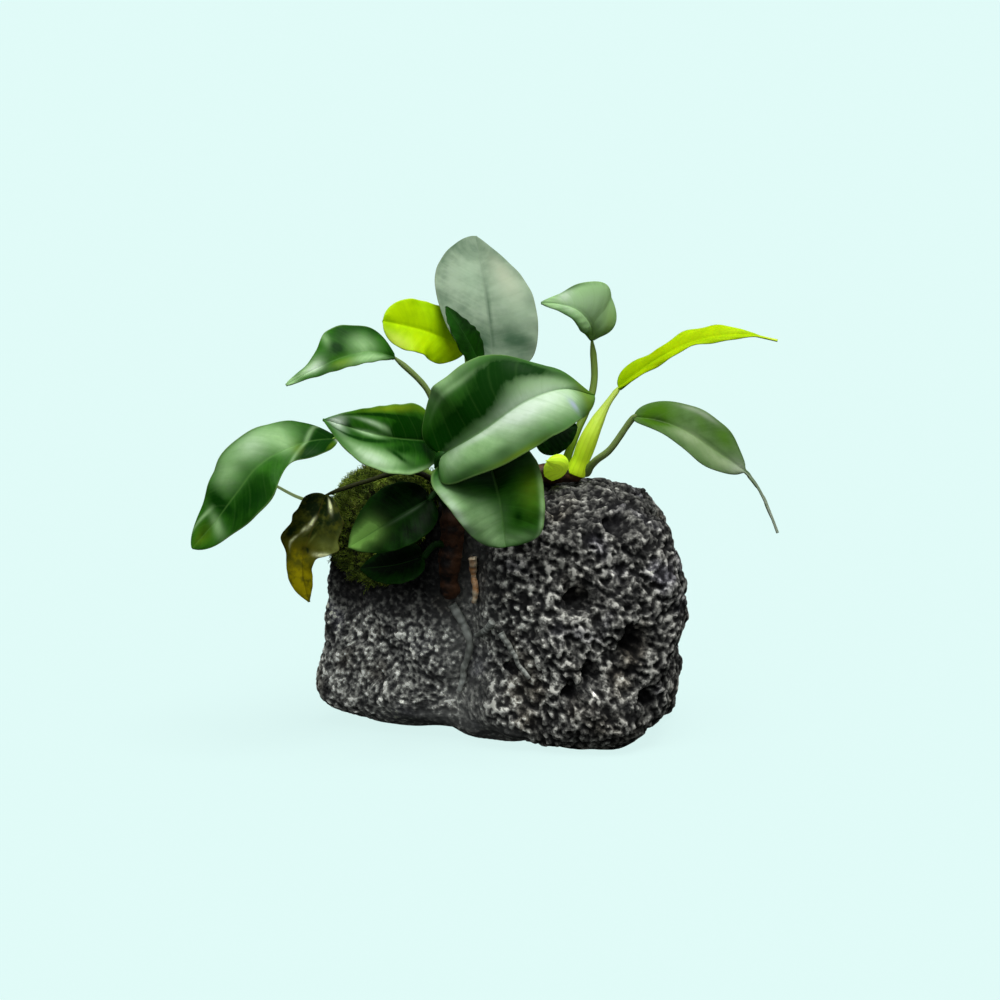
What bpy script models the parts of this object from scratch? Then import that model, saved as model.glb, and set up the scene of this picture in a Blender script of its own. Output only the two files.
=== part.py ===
"""Anubias growing on a lava stone. Z is up and the plant is seen along +Y.

The origin is the middle of the flat face that the stone rests on. All sizes below are in
millimetres, and MM turns them into Blender's metres.
"""

import math

import bmesh
import bpy
import numpy as np
from mathutils import Vector
from mathutils.bvhtree import BVHTree

MM = 0.001
GAP = 0.35  # between pieces that touch

# --- the stone: planes that bound it, each as the point it passes through and its normal ---
STONE_MIDDLE = (2, 2, 36)
STONE_CORE = (4, 42)  # y and z of a line along X, towards which rods are laid on the stone
STONE_CELLS = (24, 14, 16)  # squares along X, Y and Z of the box that is rounded into the stone
STONE_HALVES = (57, 31, 38)  # half the sides of that box
STONE_CRISPNESS = 11  # higher makes the edges between the planes sharper
STONE_PLANES = {
    "front right": ((24, -31, 35), (0.12, -0.98, 0.14)),
    "front left": ((-25, -14, 35), (-0.42, -0.90, 0.06)),
    "left": ((-56.5, 0, 30), (-0.99, 0.00, 0.12)),
    "right": ((56.5, 0, 36), (0.99, -0.05, 0.08)),
    "top": ((10, 0, 76), (0.03, -0.10, 1.00)),
    "top right": ((48.2, 0, 68.7), (0.72, -0.10, 0.69)),
    "top left": ((-40, 0, 71), (-0.55, -0.10, 0.83)),
    "front top": ((20, -25, 68), (0.00, -0.66, 0.75)),
    "back": ((0, 31, 35), (0.05, 0.97, 0.20)),
    "back top": ((0, 24, 68), (0.00, 0.70, 0.71)),
    "back right": ((45, 22, 35), (0.70, 0.71, 0.05)),
    "back left": ((-42, 22, 30), (-0.70, 0.71, 0.10)),
    "right foot": ((52, -10, 9.5), (0.75, -0.30, -0.58)),
    "left foot": ((-56.5, 0, 10.5), (-0.85, -0.20, -0.50)),
    "front left foot": ((-30, -12, 5.5), (-0.22, -0.42, -0.75)),
    "base": ((0, 0, -3), (0.00, 0.00, -1.00)),
}
# (middle, reach, depth): hollows are positive, bumps negative
STONE_HOLLOWS = (
    ((52, -22, 22), 6.0, 2.5),
    ((57, -14, 27), 9.0, 3.4),
    ((57, 2, 28), 9.0, 3.4),
    ((56, 16, 29), 9.0, 3.4),
    ((-56, 0, 28), 7.0, -1.6),
    ((-50, 0, 8), 9.0, -2.6),
    ((-54, -8, 50), 8.0, 2.5),
    ((8, -31, 24), 7.0, 1.6),
    ((36, -31, 46), 8.0, -1.5),
    ((-32, -16, 26), 13.0, -2.5),
    ((12, -31, 38), 9.0, -1.5),
    ((-20, 30, 40), 12.0, 3.0),
    ((30, 31, 52), 9.0, 2.5),
    ((8, 31, 20), 10.0, -2.0),
)
# (middle, reach, depth) of the large holes, which have steep sides
STONE_HOLES = (
    ((34.5, -22, 69), 4.4, 5.0),
    ((23.5, -30, 47), 4.2, 5.0),
    ((40.5, -30, 33.5), 5.2, 5.5),
    ((27.5, -31, 24), 3.4, 4.0),
    ((21.5, -32.5, 18), 3.6, 4.0),
    ((44, -29, 16), 3.4, 3.0),
    ((4, -29, 24), 3.4, 3.0),
    ((-38, -12, 18), 3.6, 3.0),
    ((4, 32, 47), 4.8, 5.0),
    ((-28, 29, 22), 4.6, 4.5),
    ((33, 31, 27), 4.4, 4.5),
    ((57, 8, 47), 4.4, 4.0),
    ((-56, 6, 40), 4.2, 4.0),
    ((36, 6, 77), 4.2, 4.0),
)
GROOVE = dict(x=-11, lean=0.03, reach=6.0, depth=5.0, low=4, high=72)
# heights of waves over the stone, and how fast each turns along X, Y and Z, in radians per mm
STONE_WAVES = ((0.7, (0.21, 0.13, 0.17)), (0.7, (-0.12, 0.24, 0.19)), (0.7, (0.15, -0.19, 0.27)))
# shorter waves, which fade towards the smoother left end
STONE_LUMPS = ((0.3, (0.55, 0.20, 0.31)), (0.3, (-0.38, 0.35, 0.42)), (0.3, (0.31, -0.48, -0.36)),
               (0.3, (0.46, 0.38, -0.40)), (0.25, (0.12, -0.33, 0.61)), (0.25, (-0.62, -0.21, 0.18)))

# --- the rhizome: laid on the stone along these points, from its old cut end to its tip ---
RHIZOME_RADIUS = 3.6
RHIZOME = ((-14.5, -30, 46), (-15, -29, 58), (-14, -28, 70), (-13, -22, 80),
           (-10, -12, 85), (2, -6, 85), (14, -3, 85), (25.5, -1, 84))
RHIZOME_SIZES = (0.7, 0.85, 1.0, 1.05, 1.0, 0.95, 0.8, 0.6)  # shares of the radius, foot to tip

# --- leaves: midrib points from base to tip, the way the upper side faces, width, and form ---
LEAVES = {
    "leaf_top": dict(
        rib=((-2, 6, 111), (-4, 15, 128.5), (-7.5, 32, 145.5)), face=(0.1, -1, 0.3), width=29,
        fold=8, curl=-10, belly=0.45, taper=0.62, skew=-0.3, left=(1, 1, 1.03, 1.06, 1.02, 0.9),
        right=(1.2, 1.05, 1, 0.97, 0.85, 0.62), cells=(10, 6), colour="grey green"),
    "leaf_shaded": dict(
        rib=((-6, 2, 111.5), (-10.5, 0, 120), (-16, 4, 128)), face=(0.75, -0.6, 0.4), width=16,
        fold=8, curl=-10, belly=0.5, taper=0.8, left=0.7, right=0.75, cells=(8, 4),
        colour="deep green"),
    "leaf_lime_left": dict(
        rib=((-10, 15, 113.5), (-22.5, 11, 119.5), (-35, 6, 123.3)), face=(0.1, -0.9, 0.5),
        width=18, fold=15, curl=-20, belly=0.6, taper=0.45, wave=1, lobe=0.05,
        left=(1.1, 1.15, 0.9, 0.95, 1), right=(1.3, 1.2, 1.05, 1, 0.95), colour="lime"),
    "leaf_upper_left": dict(
        rib=((-31, -5, 114.2), (-38.2, -9, 116.4), (-46.2, -13, 115.2), (-54.8, -17, 112.1),
             (-62.2, -20, 108.4)), face=(0, -0.7, 0.7), width=16, fold=15, curl=-20, belly=0.5,
        taper=0.5, lobe=0, left=(0.4, 0.5, 0.6, 0.55, 0.5, 0.45, 0.4, 0.3, 0.3),
        right=(0.9, 1.3, 1.38, 1.4, 1.28, 0.78, 0.42, 0.3, 0.3), cells=(12, 4)),
    "leaf_mid_left": dict(
        rib=((-19, -17, 91), (-33.2, -30, 95), (-50.2, -42, 102.2)), face=(0, -0.75, 0.65),
        width=32, fold=20, curl=-25, fold_right=15, belly=0.5, taper=0.8, wave=0.8, lobe=0.1,
        left=(0.6, 0.75, 0.95, 1.1, 1.1), right=(1.1, 0.72, 0.62, 0.5, 0.4), cells=(10, 6)),
    "leaf_arched_left": dict(
        rib=((-47.6, -14, 91.5), (-54.9, -20, 91.8), (-62.5, -24, 90), (-70.2, -27, 85.6),
             (-76, -29, 78.5), (-83, -30, 69.3), (-89.5, -30, 62)), face=(-0.3, -0.7, 0.6),
        width=23, fold=12, curl=-25, belly=0.85, taper=0.7, lobe=0.05,
        left=(1.3, 0.9, 0.55, 0.92, 0.95, 0.86, 1), right=(2.2, 1.4, 1.2, 1.14, 1.02, 0.88, 1.1),
        cells=(14, 6)),
    "leaf_low_left": dict(
        rib=((-20.5, -26, 76), (-31, -30, 70.5), (-44, -31, 62.5)), face=(0, -0.8, 0.6), width=20,
        fold=15, curl=-20, belly=0.5, taper=0.8, cells=(8, 4), colour="deep green"),
    "leaf_low_shade": dict(
        rib=((-22.5, -24, 58), (-31, -24, 55.5), (-41, -22, 54)), face=(0, -0.7, 0.7), width=14,
        fold=15, curl=-20, belly=0.5, taper=0.8, cells=(6, 4), colour="deep green"),
    "leaf_front": dict(
        rib=((-17, -32.5, 90), (-5.5, -38, 97.8), (7, -38, 106.5), (18, -33.5, 109.5),
             (27.2, -27, 106.5)), face=((0, -0.77, 0.64), (0, -0.8, 0.6), (0.1, -0.88, 0.5)),
        width=41, fold=28, curl=-45, curl_left=-10, belly=0.45, taper=0.68, lobe=0.6, skew=0.2,
        left=(0.95, 1.08, 1.05, 1, 0.55, 0.2), right=(0.9, 0.68, 0.7, 0.75, 0.75, 0.9),
        cells=(12, 6)),
    "leaf_behind": dict(
        rib=((10.5, -1, 88.5), (16.5, -2, 91), (23, -2.5, 93)), face=(0, -0.9, 0.4), width=13,
        fold=8, curl=-15, belly=0.5, taper=0.7, cells=(6, 4), colour="deep green"),
    "leaf_hanging_front": dict(
        rib=((-2.5, -31, 86.5), (0, -41, 78), (1.7, -43, 65.4)), face=(0.15, -0.95, 0.2), width=46,
        fold=12, curl=-25, fold_left=25, belly=0.32, taper=0.42, lobe=0.4,
        left=(0.6, 0.6, 0.6, 0.6, 0.66, 0.85), right=(0.9, 0.88, 0.8, 0.68, 0.6, 0.56, 0.55),
        cells=(10, 6)),
    "leaf_small_right": dict(
        rib=((27.8, 15, 115.9), (27, 9.5, 121.6), (23.2, 5.5, 126.5), (17.8, 3, 128.7),
             (12.2, 2, 129.3)), face=(0, -0.8, 0.6), width=16, fold=15, curl=-20, belly=0.5,
        taper=0.5, lobe=0, left=(0.25, 0.4, 0.6, 0.55, 0.4, 0.3),
        right=(0.7, 1.35, 1.65, 1.1, 0.55, 0.3)),
    "leaf_lime_right": dict(
        rib=((35.5, 8, 102.7), (42, 5, 108.4), (48.5, 2, 113.4), (56.5, 0, 117.6), (65, -2, 120),
             (74, -3, 120.5), (82, -4, 119)), face=(0, -0.5, 0.86), width=11, fold=20, curl=-30,
        belly=0.5, taper=0.5, tail=0.1, left=(2.4, 1.35, 0.6, 1.1, 0.95, 0.45, 0.3),
        right=(0.6, 0.6, 0.55, 0.5, 0.5, 0.5, 0.4), wave=0.7, waves=2.5, cells=(12, 4),
        colour="lime"),
    "leaf_tailed_right": dict(
        rib=((39.7, -5, 96.2), (46.7, -9, 95.8), (54.4, -13, 93.5), (62.3, -15, 88.5),
             (73, -16, 81), (78, -16, 73.2), (82, -16, 63.5)), face=(0.2, -0.8, 0.6), width=18,
        fold=18, curl=-25, belly=0.5, taper=0.6, tail=0.36,
        left=(0.85, 0.88, 0.95, 1.05, 0.8, 1, 1), right=(0.35, 0.5, 0.85, 1, 1), cells=(14, 4)),
    "leaf_old": dict(
        rib=((-51.4, -14, 74.5), (-54.8, -18, 66.3), (-58, -20, 57.4), (-57.8, -21, 50.4),
             (-56.3, -21, 43.7)), face=(-0.3, -0.9, 0.2), width=17, fold=14, curl=-30, belly=0.6,
        taper=0.8, wave=1.2, left=(1, 1.1, 1.1, 1.13, 1.15, 1.1, 0.58, 0.48, 0.49, 0.5, 0.5),
        right=(1.4, 1.3, 1, 0.9, 0.9, 1.05, 0.76, 0.7, 0.75, 0.8, 0.8), cells=(15, 4),
        colour="old"),
}
LEAF_THICKNESS = 0.7
LEAF_LEAST_WIDTH = 0.9  # across the base and the tip

# --- stems: seat on the rhizome (0 its cut end, 1 its tip), radii from foot to leaf, and the
# points that the stem passes between the rhizome and its leaf ---
STEMS = {
    "top": (0.72, (1.6, 1.3, 1.2), ((1.5, 1, 97),)),
    "shaded": (0.64, (1.2, 0.9, 0.8), ((-5.5, -3, 98),)),
    "lime_left": (0.57, (1.3, 1.0, 0.9), ((-9, 1, 98),)),
    "upper_left": (0.52, (1.2, 0.9, 0.9), ((-18, -8, 96), (-22, -7, 105.5))),
    "old": (0.445, (0.8, 0.7, 0.6), ((-26, -13.5, 81.5), (-40, -14.5, 78.5))),
    "mid_left": (0.42, (1.2, 1.0), ((-19, -16.5, 86),)),
    "arched_left": (0.47, (1.2, 1.0, 1.0), ((-30, -8, 84), (-41, -9, 85))),
    "low_left": (0.35, (1.1, 0.9), ((-18, -22.5, 76.5),)),
    "low_shade": (0.24, (1.1, 0.9), ((-19, -23, 61.5),)),
    "front": (0.39, (2.0, 1.7), ((-17, -28, 85),)),
    "behind": (0.73, (1.0, 0.8), ((7.5, -1.5, 86.5),)),
    "hanging_front": (0.53, (1.5, 1.2), ((-6, -21, 88.5),)),
    "small_right": (0.915, (1.3, 1.1, 1.0), ((22.5, 3, 89), (26.5, 9, 97), (28.5, 13, 105))),
    "lime_right": (0.965, (2.2, 2.8, 2.1, 1.0, 0.9), ((27, -1, 90), (31.5, 4, 97.5))),
    "tailed_right": (1.0, (1.2, 1.0, 0.9), ((28.5, -5, 83), (33, -6, 87))),
}
SHOOT = (0.87, (1.8, 3.1, 3.1, 2.2, 0.6), ((17.5, -9, 83), (13.5, -12.5, 84.5)))
LEAF_JOINT = 1.3  # from a stem's end to its leaf's base
STEM_POINTS = 7  # along each stem

# --- clinging roots: (x, z) points seen from the front, laid on the stone, and their radius ---
ROOTS = {
    "root_left": (1.35, ((-14, 42), (-11.5, 36), (-8.6, 31), (-10, 24), (-11.5, 16))),
    "root_middle": (1.15, ((-1.5, 39), (-4, 35.5), (-6, 33.3))),
    "root_right": (1.0, ((1, 36), (4, 31), (7, 26.5), (9.5, 23))),
    "root_pale": (1.2, ((-7, 57), (-6.5, 52), (-6, 47), (-6.5, 43))),
}
ROOT_POINTS = 10  # along each root
ROOT_LIFT = 0.7  # over the stone, whose lumps rise between a root's points
AERIAL_ROOT = (0.6, ((-50.5, -10, 73), (-54.5, -11, 71.8), (-60, -12, 73.5), (-66, -14, 77.2)))

# --- moss cushion: where it sits, seen from the middle of the stone ---
MOSS = dict(towards=(-0.80, -0.16, 0.66), reach=0.34, thickness=8.5, lift=2, rings=5, spokes=20)

COLOURS = {
    "stone": ((0.045, 0.045, 0.045), 0.95),
    "rhizome": ((0.10, 0.035, 0.015), 0.7),
    "root": ((0.16, 0.17, 0.12), 0.8),
    "pale root": ((0.60, 0.42, 0.26), 0.7),
    "moss": ((0.04, 0.05, 0.01), 0.95),
    "green": ((0.045, 0.16, 0.03), 0.35),
    "grey green": ((0.10, 0.17, 0.08), 0.3),
    "deep green": ((0.015, 0.07, 0.015), 0.4),
    "lime": ((0.42, 0.60, 0.02), 0.4),
    "stem": ((0.16, 0.28, 0.03), 0.45),
    "old": ((0.28, 0.20, 0.02), 0.6),
}


def unit(vectors):
    return vectors / np.linalg.norm(vectors, axis=-1, keepdims=True)


def through_knots(knots, t):
    """The place at each t (0 to 1) of a Catmull-Rom curve through evenly spread knots."""
    knots = np.array(knots, float)
    known = np.concatenate([[2 * knots[0] - knots[1]], knots, [2 * knots[-1] - knots[-2]]])
    spans = len(knots) - 1
    x = np.clip(np.asarray(t, float), 0, 1) * spans
    i = np.minimum(x.astype(int), spans - 1)
    f = (x - i).reshape(-1, *[1] * (knots.ndim - 1))
    a, b, c, d = known[i], known[i + 1], known[i + 2], known[i + 3]
    return 0.5 * (2 * b + (c - a) * f + (2 * a - 5 * b + 4 * c - d) * f**2
                  + (3 * b - a - 3 * c + d) * f**3)


def smooth_path(points, share):
    """The place at each share (0 to 1) of the length of a smooth curve through the points."""
    fine = np.linspace(0, 1, 300)
    steps = np.linalg.norm(np.diff(through_knots(points, fine), axis=0), axis=1)
    length = np.concatenate([[0], np.cumsum(steps)])
    return through_knots(points, np.interp(np.asarray(share) * length[-1], length, fine))


def spread(value, share, depth=1):
    """One number (or direction, at depth 2) for the whole length, or a list from base to tip."""
    knots = np.array(value, float, ndmin=depth)
    if len(knots) == 1:
        knots = np.repeat(knots, 2, axis=0)
    return through_knots(knots, share)


def material_named(colour):
    """One Principled material for a piece, from the table of colours."""
    (red, green, blue), roughness = COLOURS[colour]
    made = bpy.data.materials.new(colour)
    made.use_nodes = True
    shader = made.node_tree.nodes["Principled BSDF"]
    shader.inputs["Base Color"].default_value = (red, green, blue, 1)
    shader.inputs["Roughness"].default_value = roughness
    shader.inputs["Metallic"].default_value = 0
    made.diffuse_color = (red, green, blue, 1)
    return made


def add_object(name, data, colour):
    piece = bpy.data.objects.new(name, data)
    bpy.context.scene.collection.objects.link(piece)
    data.materials.append(material_named(colour))
    return piece


def mesh_piece(name, points, faces, colour):
    """A smooth-shaded mesh object from points in millimetres."""
    mesh = bpy.data.meshes.new(name)
    mesh.from_pydata((np.asarray(points) * MM).tolist(), [], faces)
    mesh.update()
    mesh.shade_smooth()
    return add_object(name, mesh, colour)


def tube_piece(name, points, radii, colour, sides=1):
    """A round, tapering rod along the points, as a bevelled curve with filled ends."""
    curve = bpy.data.curves.new(name, "CURVE")
    curve.dimensions = "3D"
    curve.bevel_depth = MM
    curve.bevel_resolution = sides
    curve.use_fill_caps = True
    spline = curve.splines.new("POLY")
    spline.points.add(len(points) - 1)
    for knot, place, radius in zip(spline.points, points, radii):
        knot.co = (*(np.asarray(place) * MM), 1)
        knot.radius = radius
    return add_object(name, curve, colour)


def stone_surface(directions):
    """Points of the stone's surface in the given directions from its middle.

    The distance is a soft least of the distances to the planes, then hollows, bumps, holes, the
    groove and waves move the surface in or out, and the base is cut flat at z = 0.
    """
    middle = np.array(STONE_MIDDLE, float)
    closeness = 0
    for place, normal in STONE_PLANES.values():
        normal = unit(np.array(normal, float))
        height = normal @ (np.array(place) - middle)
        closeness = closeness + (np.maximum(directions @ normal, 0) / height) ** STONE_CRISPNESS
    distance = closeness ** (-1 / STONE_CRISPNESS)
    points = middle + directions * distance[:, None]

    inward = np.zeros(len(points))
    for place, reach, depth in STONE_HOLLOWS:
        away = ((points - np.array(place)) ** 2).sum(axis=1)
        inward += depth * np.exp(-away / reach**2)
    for place, reach, depth in STONE_HOLES:
        away = ((points - np.array(place)) ** 2).sum(axis=1)
        inward += depth * np.exp(-(away / reach**2) ** 2)
    side = (points[:, 0] - GROOVE["x"] - GROOVE["lean"] * (points[:, 2] - 36)) / GROOVE["reach"]
    front = np.clip(-directions[:, 1] * 3, 0, 1)
    level = np.clip((points[:, 2] - GROOVE["low"]) / 12, 0, 1)
    level *= np.clip((GROOVE["high"] - points[:, 2]) / 12, 0, 1)
    inward += GROOVE["depth"] * np.exp(-side**2) * front * level
    fade = np.clip(0.6 + points[:, 0] / 80, 0.2, 1)
    for number, (height, turns) in enumerate(STONE_WAVES + STONE_LUMPS):
        lift = height * np.sin(points @ np.array(turns) + 1.7 * number)
        inward += lift * (fade if number >= len(STONE_WAVES) else 1)
    points = points - directions * inward[:, None]
    points[:, 2] = np.maximum(points[:, 2], 0)
    return points


def make_stone():
    """A box with a square grid on each side, each point moved out to the stone's surface."""
    shape = bmesh.new()
    bmesh.ops.create_cube(shape, size=2)
    for axis, cells in enumerate(STONE_CELLS):
        along = [edge for edge in shape.edges
                 if abs(edge.verts[0].co[axis] - edge.verts[1].co[axis]) > 1]
        bmesh.ops.subdivide_edges(shape, edges=along, cuts=cells - 1, use_grid_fill=True)
    corners = np.array([vertex.co for vertex in shape.verts])
    directions = unit(np.tan(corners * math.pi / 4) * np.array(STONE_HALVES))
    for vertex, place in zip(shape.verts, stone_surface(directions)):
        vertex.co = place * MM
    bmesh.ops.recalc_face_normals(shape, faces=shape.faces)
    mesh = bpy.data.meshes.new("stone")
    shape.to_mesh(mesh)
    surface = BVHTree.FromBMesh(shape)
    shape.free()
    mesh.shade_smooth()
    mesh.set_sharp_from_angle(angle=math.radians(50))
    add_object("stone", mesh, "stone")
    return surface


def laid_on_stone(points, radii, surface):
    """The same points, dropped towards the stone's core until a rod of these radii nearly touches."""
    laid = []
    for place, radius in zip(points, radii):
        start = Vector(place) * MM
        inward = (Vector((place[0], *STONE_CORE)) * MM - start).normalized()
        hit, normal, _, _ = surface.ray_cast(start - inward, inward)
        lift = (radius + GAP) * MM / max(-inward.dot(normal), 0.5)
        laid.append(np.array(hit - inward * lift) / MM)
    return np.array(laid)


def make_rhizome(surface):
    """A thick knobbly rod laid over the stone. Returns its axis and radii, for the stems."""
    share = np.linspace(0, 1, 23)
    sizes = np.interp(share, np.linspace(0, 1, len(RHIZOME_SIZES)), RHIZOME_SIZES)
    radii = RHIZOME_RADIUS * sizes * (1 + 0.06 * np.sin(share * 46))
    axis = laid_on_stone(smooth_path(RHIZOME, share), radii + 0.6, surface)
    axis[1:-1] = (axis[:-2] + 2 * axis[1:-1] + axis[2:]) / 4
    tube_piece("rhizome", axis, radii, "rhizome", sides=2)
    return axis, radii


def half_width(share, belly, taper, tail, tail_width):
    """Half width at each share of the midrib, 1 at the widest, with a thin tail if asked."""
    body = np.clip(share / (1 - tail), 0, 1)
    widest = belly / (belly + taper)
    blade = (body / widest) ** belly * ((1 - body) / (1 - widest)) ** taper
    return blade + (tail_width * (1 - share) * np.clip(body * 1.5, 0, 1) if tail else 0)


def leaf_surface(rib, face, width, fold=20, curl=-20, fold_left=0, fold_right=0, curl_left=0,
                 curl_right=0, belly=0.5, taper=0.9, tail=0, tail_width=0.09, left=1, right=1,
                 lobe=0.25, skew=0, wave=0, waves=1.5, cells=(10, 4), colour="green"):
    """Grid of points over a leaf: along its midrib, and across it from left to right.

    Each half leaves the midrib at the fold angle and bends on by the curl angle, as an arc.
    The lobe draws the base back behind the stem, and the wave lifts and lowers the margin.
    The face, the left and the right may be lists from base to tip.
    """
    along, across = cells
    share = np.linspace(0, 1, along + 1)
    middle = smooth_path(rib, share)
    step = 1e-3
    ahead = smooth_path(rib, np.clip(share + step, 0, 1))
    behind = smooth_path(rib, np.clip(share - step, 0, 1))
    forward = unit(ahead - behind)
    sideways = unit(np.cross(forward, spread(face, share, 2)))
    upward = np.cross(sideways, forward)
    half = half_width(share, belly, taper, tail, tail_width) * width / 2
    grid = np.empty((along + 1, across + 1, 3))
    for column, place in enumerate(np.linspace(-1, 1, across + 1)):
        out = abs(place)
        is_right = place >= 0
        start = math.radians(fold + (fold_right if is_right else fold_left))
        bend = math.radians(curl + (curl_right if is_right else curl_left)) or 1e-4
        size = np.maximum(half * spread(right if is_right else left, share), LEAF_LEAST_WIDTH / 2)
        level = size * (math.sin(start + bend * out) - math.sin(start)) / bend
        height = size * (math.cos(start) - math.cos(start + bend * out)) / bend
        turn = 2 * math.pi * (waves * share + (0 if is_right else 0.37))
        height = height + wave * out**2 * np.sin(turn) * np.sin(math.pi * share)
        back = (lobe * out**1.5 * (1 - share) ** 3 - skew * place) * half
        grid[:, column] = (middle + sideways * (level if is_right else -level)[:, None]
                           + upward * height[:, None] - forward * back[:, None])
    return grid


def make_leaf(name, form):
    """The leaf's grid as a sheet, thickened evenly to both sides."""
    grid = leaf_surface(**form)
    rows, columns = grid.shape[:2]
    number = np.arange(rows * columns).reshape(rows, columns)
    faces = np.stack([number[:-1, :-1], number[:-1, 1:], number[1:, 1:], number[1:, :-1]], -1)
    leaf = mesh_piece(name, grid.reshape(-1, 3), faces.reshape(-1, 4).tolist(),
                      form.get("colour", "green"))
    solid = leaf.modifiers.new("Thickness", "SOLIDIFY")
    solid.thickness = LEAF_THICKNESS * MM
    solid.offset = 0


def rhizome_seat(seat, towards, stem_radius, rhizome):
    """The point where a stem that leaves for the given point clears the rhizome's skin."""
    axis, radii = rhizome
    share = np.linspace(0, 1, len(axis))
    near = np.array([[np.interp(at, share, axis[:, i]) for i in range(3)]
                     for at in (seat, min(seat + 0.02, 1), max(seat - 0.02, 0))])
    along = unit(near[1] - near[2])
    way = unit(np.array(towards) - near[0])
    lean = abs(way @ along)
    skin = np.interp(seat, share, radii) * 1.03 + GAP
    return near[0] + way * (skin + stem_radius * lean) / math.sqrt(1 - lean**2)


def make_stem(name, radii, points, colour="stem"):
    """A tapering stem along a smooth curve."""
    share = np.linspace(0, 1, STEM_POINTS)
    radii = np.interp(share, np.linspace(0, 1, len(radii)), radii)
    tube_piece(name, smooth_path(points, share), radii, colour)


def make_root(name, radius, outline, surface):
    """A root laid on the front of the stone, where it is seen to run, and moved clear of it."""
    share = np.linspace(0, 1, ROOT_POINTS)
    radii = radius * (1 - 0.4 * share)
    seen = smooth_path([(x, 0, z) for x, z in outline], share)
    points = []
    for place, size in zip(seen, radii):
        start = Vector((place[0], -100, place[2])) * MM
        hit, normal, _, _ = surface.ray_cast(start, Vector((0, 1, 0)))
        reach = (size + ROOT_LIFT) * MM
        point = hit + normal * reach
        for _ in range(4):
            nearest = surface.find_nearest(point)[0]
            point = nearest + (point - nearest).normalized() * reach
        points.append(np.array(point) / MM)
    tube_piece(name, points, radii,
               "pale root" if name == "root_pale" else "root")


def make_moss(surface):
    """A cushion that follows the stone, thick in the middle and thin at its edge."""
    middle = Vector(STONE_MIDDLE) * MM
    towards = unit(np.array(MOSS["towards"], float))
    side = unit(np.cross(towards, (0, 0, 1)))
    up = np.cross(side, towards)
    rings, spokes = MOSS["rings"], MOSS["spokes"]
    lower, upper = [], []
    for ring in range(rings + 1):
        for spoke in range(spokes if ring else 1):
            turn = 2 * math.pi * spoke / spokes
            reach = MOSS["reach"] * ring / rings * (1 + 0.12 * math.sin(3 * turn + 1))
            way = unit(towards + reach * (side * math.cos(turn) + 1.25 * up * math.sin(turn)))
            hit = np.array(surface.ray_cast(middle, Vector(way))[0]) / MM
            share = ring / rings
            lump = 1 + 0.15 * math.sin(5 * turn + 4 * share) * share
            lower.append(hit + way * MOSS["lift"])
            upper.append(hit + way * (MOSS["lift"] + MOSS["thickness"] * math.sqrt(1 - share**2) * lump))
    rim = len(lower) - spokes
    points = lower + upper[:rim]

    def number(is_upper, ring, spoke):
        flat = 0 if ring == 0 else 1 + (ring - 1) * spokes + spoke % spokes
        return flat + (len(lower) if is_upper and ring < rings else 0)

    faces = []
    for is_upper in (False, True):
        for ring in range(rings):
            for spoke in range(spokes):
                loop = [number(is_upper, ring, spoke), number(is_upper, ring + 1, spoke),
                        number(is_upper, ring + 1, spoke + 1), number(is_upper, ring, spoke + 1)]
                loop = loop[:3] if ring == 0 else loop
                faces.append(loop[::-1] if is_upper else loop)
    mesh_piece("moss", points, faces, "moss")


def main():
    for old in list(bpy.data.objects):
        bpy.data.objects.remove(old)
    surface = make_stone()
    rhizome = make_rhizome(surface)
    for name, form in LEAVES.items():
        make_leaf(name, form)
    for name, (seat, radii, points) in STEMS.items():
        rib = LEAVES["leaf_" + name]["rib"]
        foot = rhizome_seat(seat, points[0], radii[0], rhizome)
        base, beyond = smooth_path(rib, [0, 0.05])
        end = base - unit(beyond - base) * LEAF_JOINT
        make_stem("stem_" + name, radii, (foot, *points, end),
                  "lime" if name == "lime_right" else "stem")
    seat, radii, points = SHOOT
    foot = rhizome_seat(seat, points[0], radii[0], rhizome)
    make_stem("shoot_lime", radii, (foot, *points), "lime")
    for name, (radius, outline) in ROOTS.items():
        make_root(name, radius, outline, surface)
    radius, points = AERIAL_ROOT
    share = np.linspace(0, 1, ROOT_POINTS)
    tube_piece("aerial_root", smooth_path(points, share), radius * (1 - 0.3 * share), "root")
    make_moss(surface)


main()
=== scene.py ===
import functools
import itertools
import math

import bpy
import numpy as np
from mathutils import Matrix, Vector
from mathutils.bvhtree import BVHTree


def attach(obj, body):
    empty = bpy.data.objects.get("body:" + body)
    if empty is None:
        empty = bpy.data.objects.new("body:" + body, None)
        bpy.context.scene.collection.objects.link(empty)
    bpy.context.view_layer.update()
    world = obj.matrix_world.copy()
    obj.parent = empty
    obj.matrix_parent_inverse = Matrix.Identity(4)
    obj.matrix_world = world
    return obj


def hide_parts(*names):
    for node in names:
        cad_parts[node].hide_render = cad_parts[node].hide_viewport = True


# Anubias on a lava stone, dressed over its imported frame. Sizes are in millimetres until a
# mesh is made. Z is up and the plant is seen along +Y.

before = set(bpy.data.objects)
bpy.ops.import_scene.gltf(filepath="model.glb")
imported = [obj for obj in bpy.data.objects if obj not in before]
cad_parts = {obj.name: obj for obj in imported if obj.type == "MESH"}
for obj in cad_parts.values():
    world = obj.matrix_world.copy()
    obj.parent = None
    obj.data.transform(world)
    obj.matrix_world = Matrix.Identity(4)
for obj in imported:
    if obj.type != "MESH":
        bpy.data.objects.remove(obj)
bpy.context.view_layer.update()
mm = 0.001

view = dict(target=(0, 0, 70), distance=900, elevation=12, lens=108)


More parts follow.
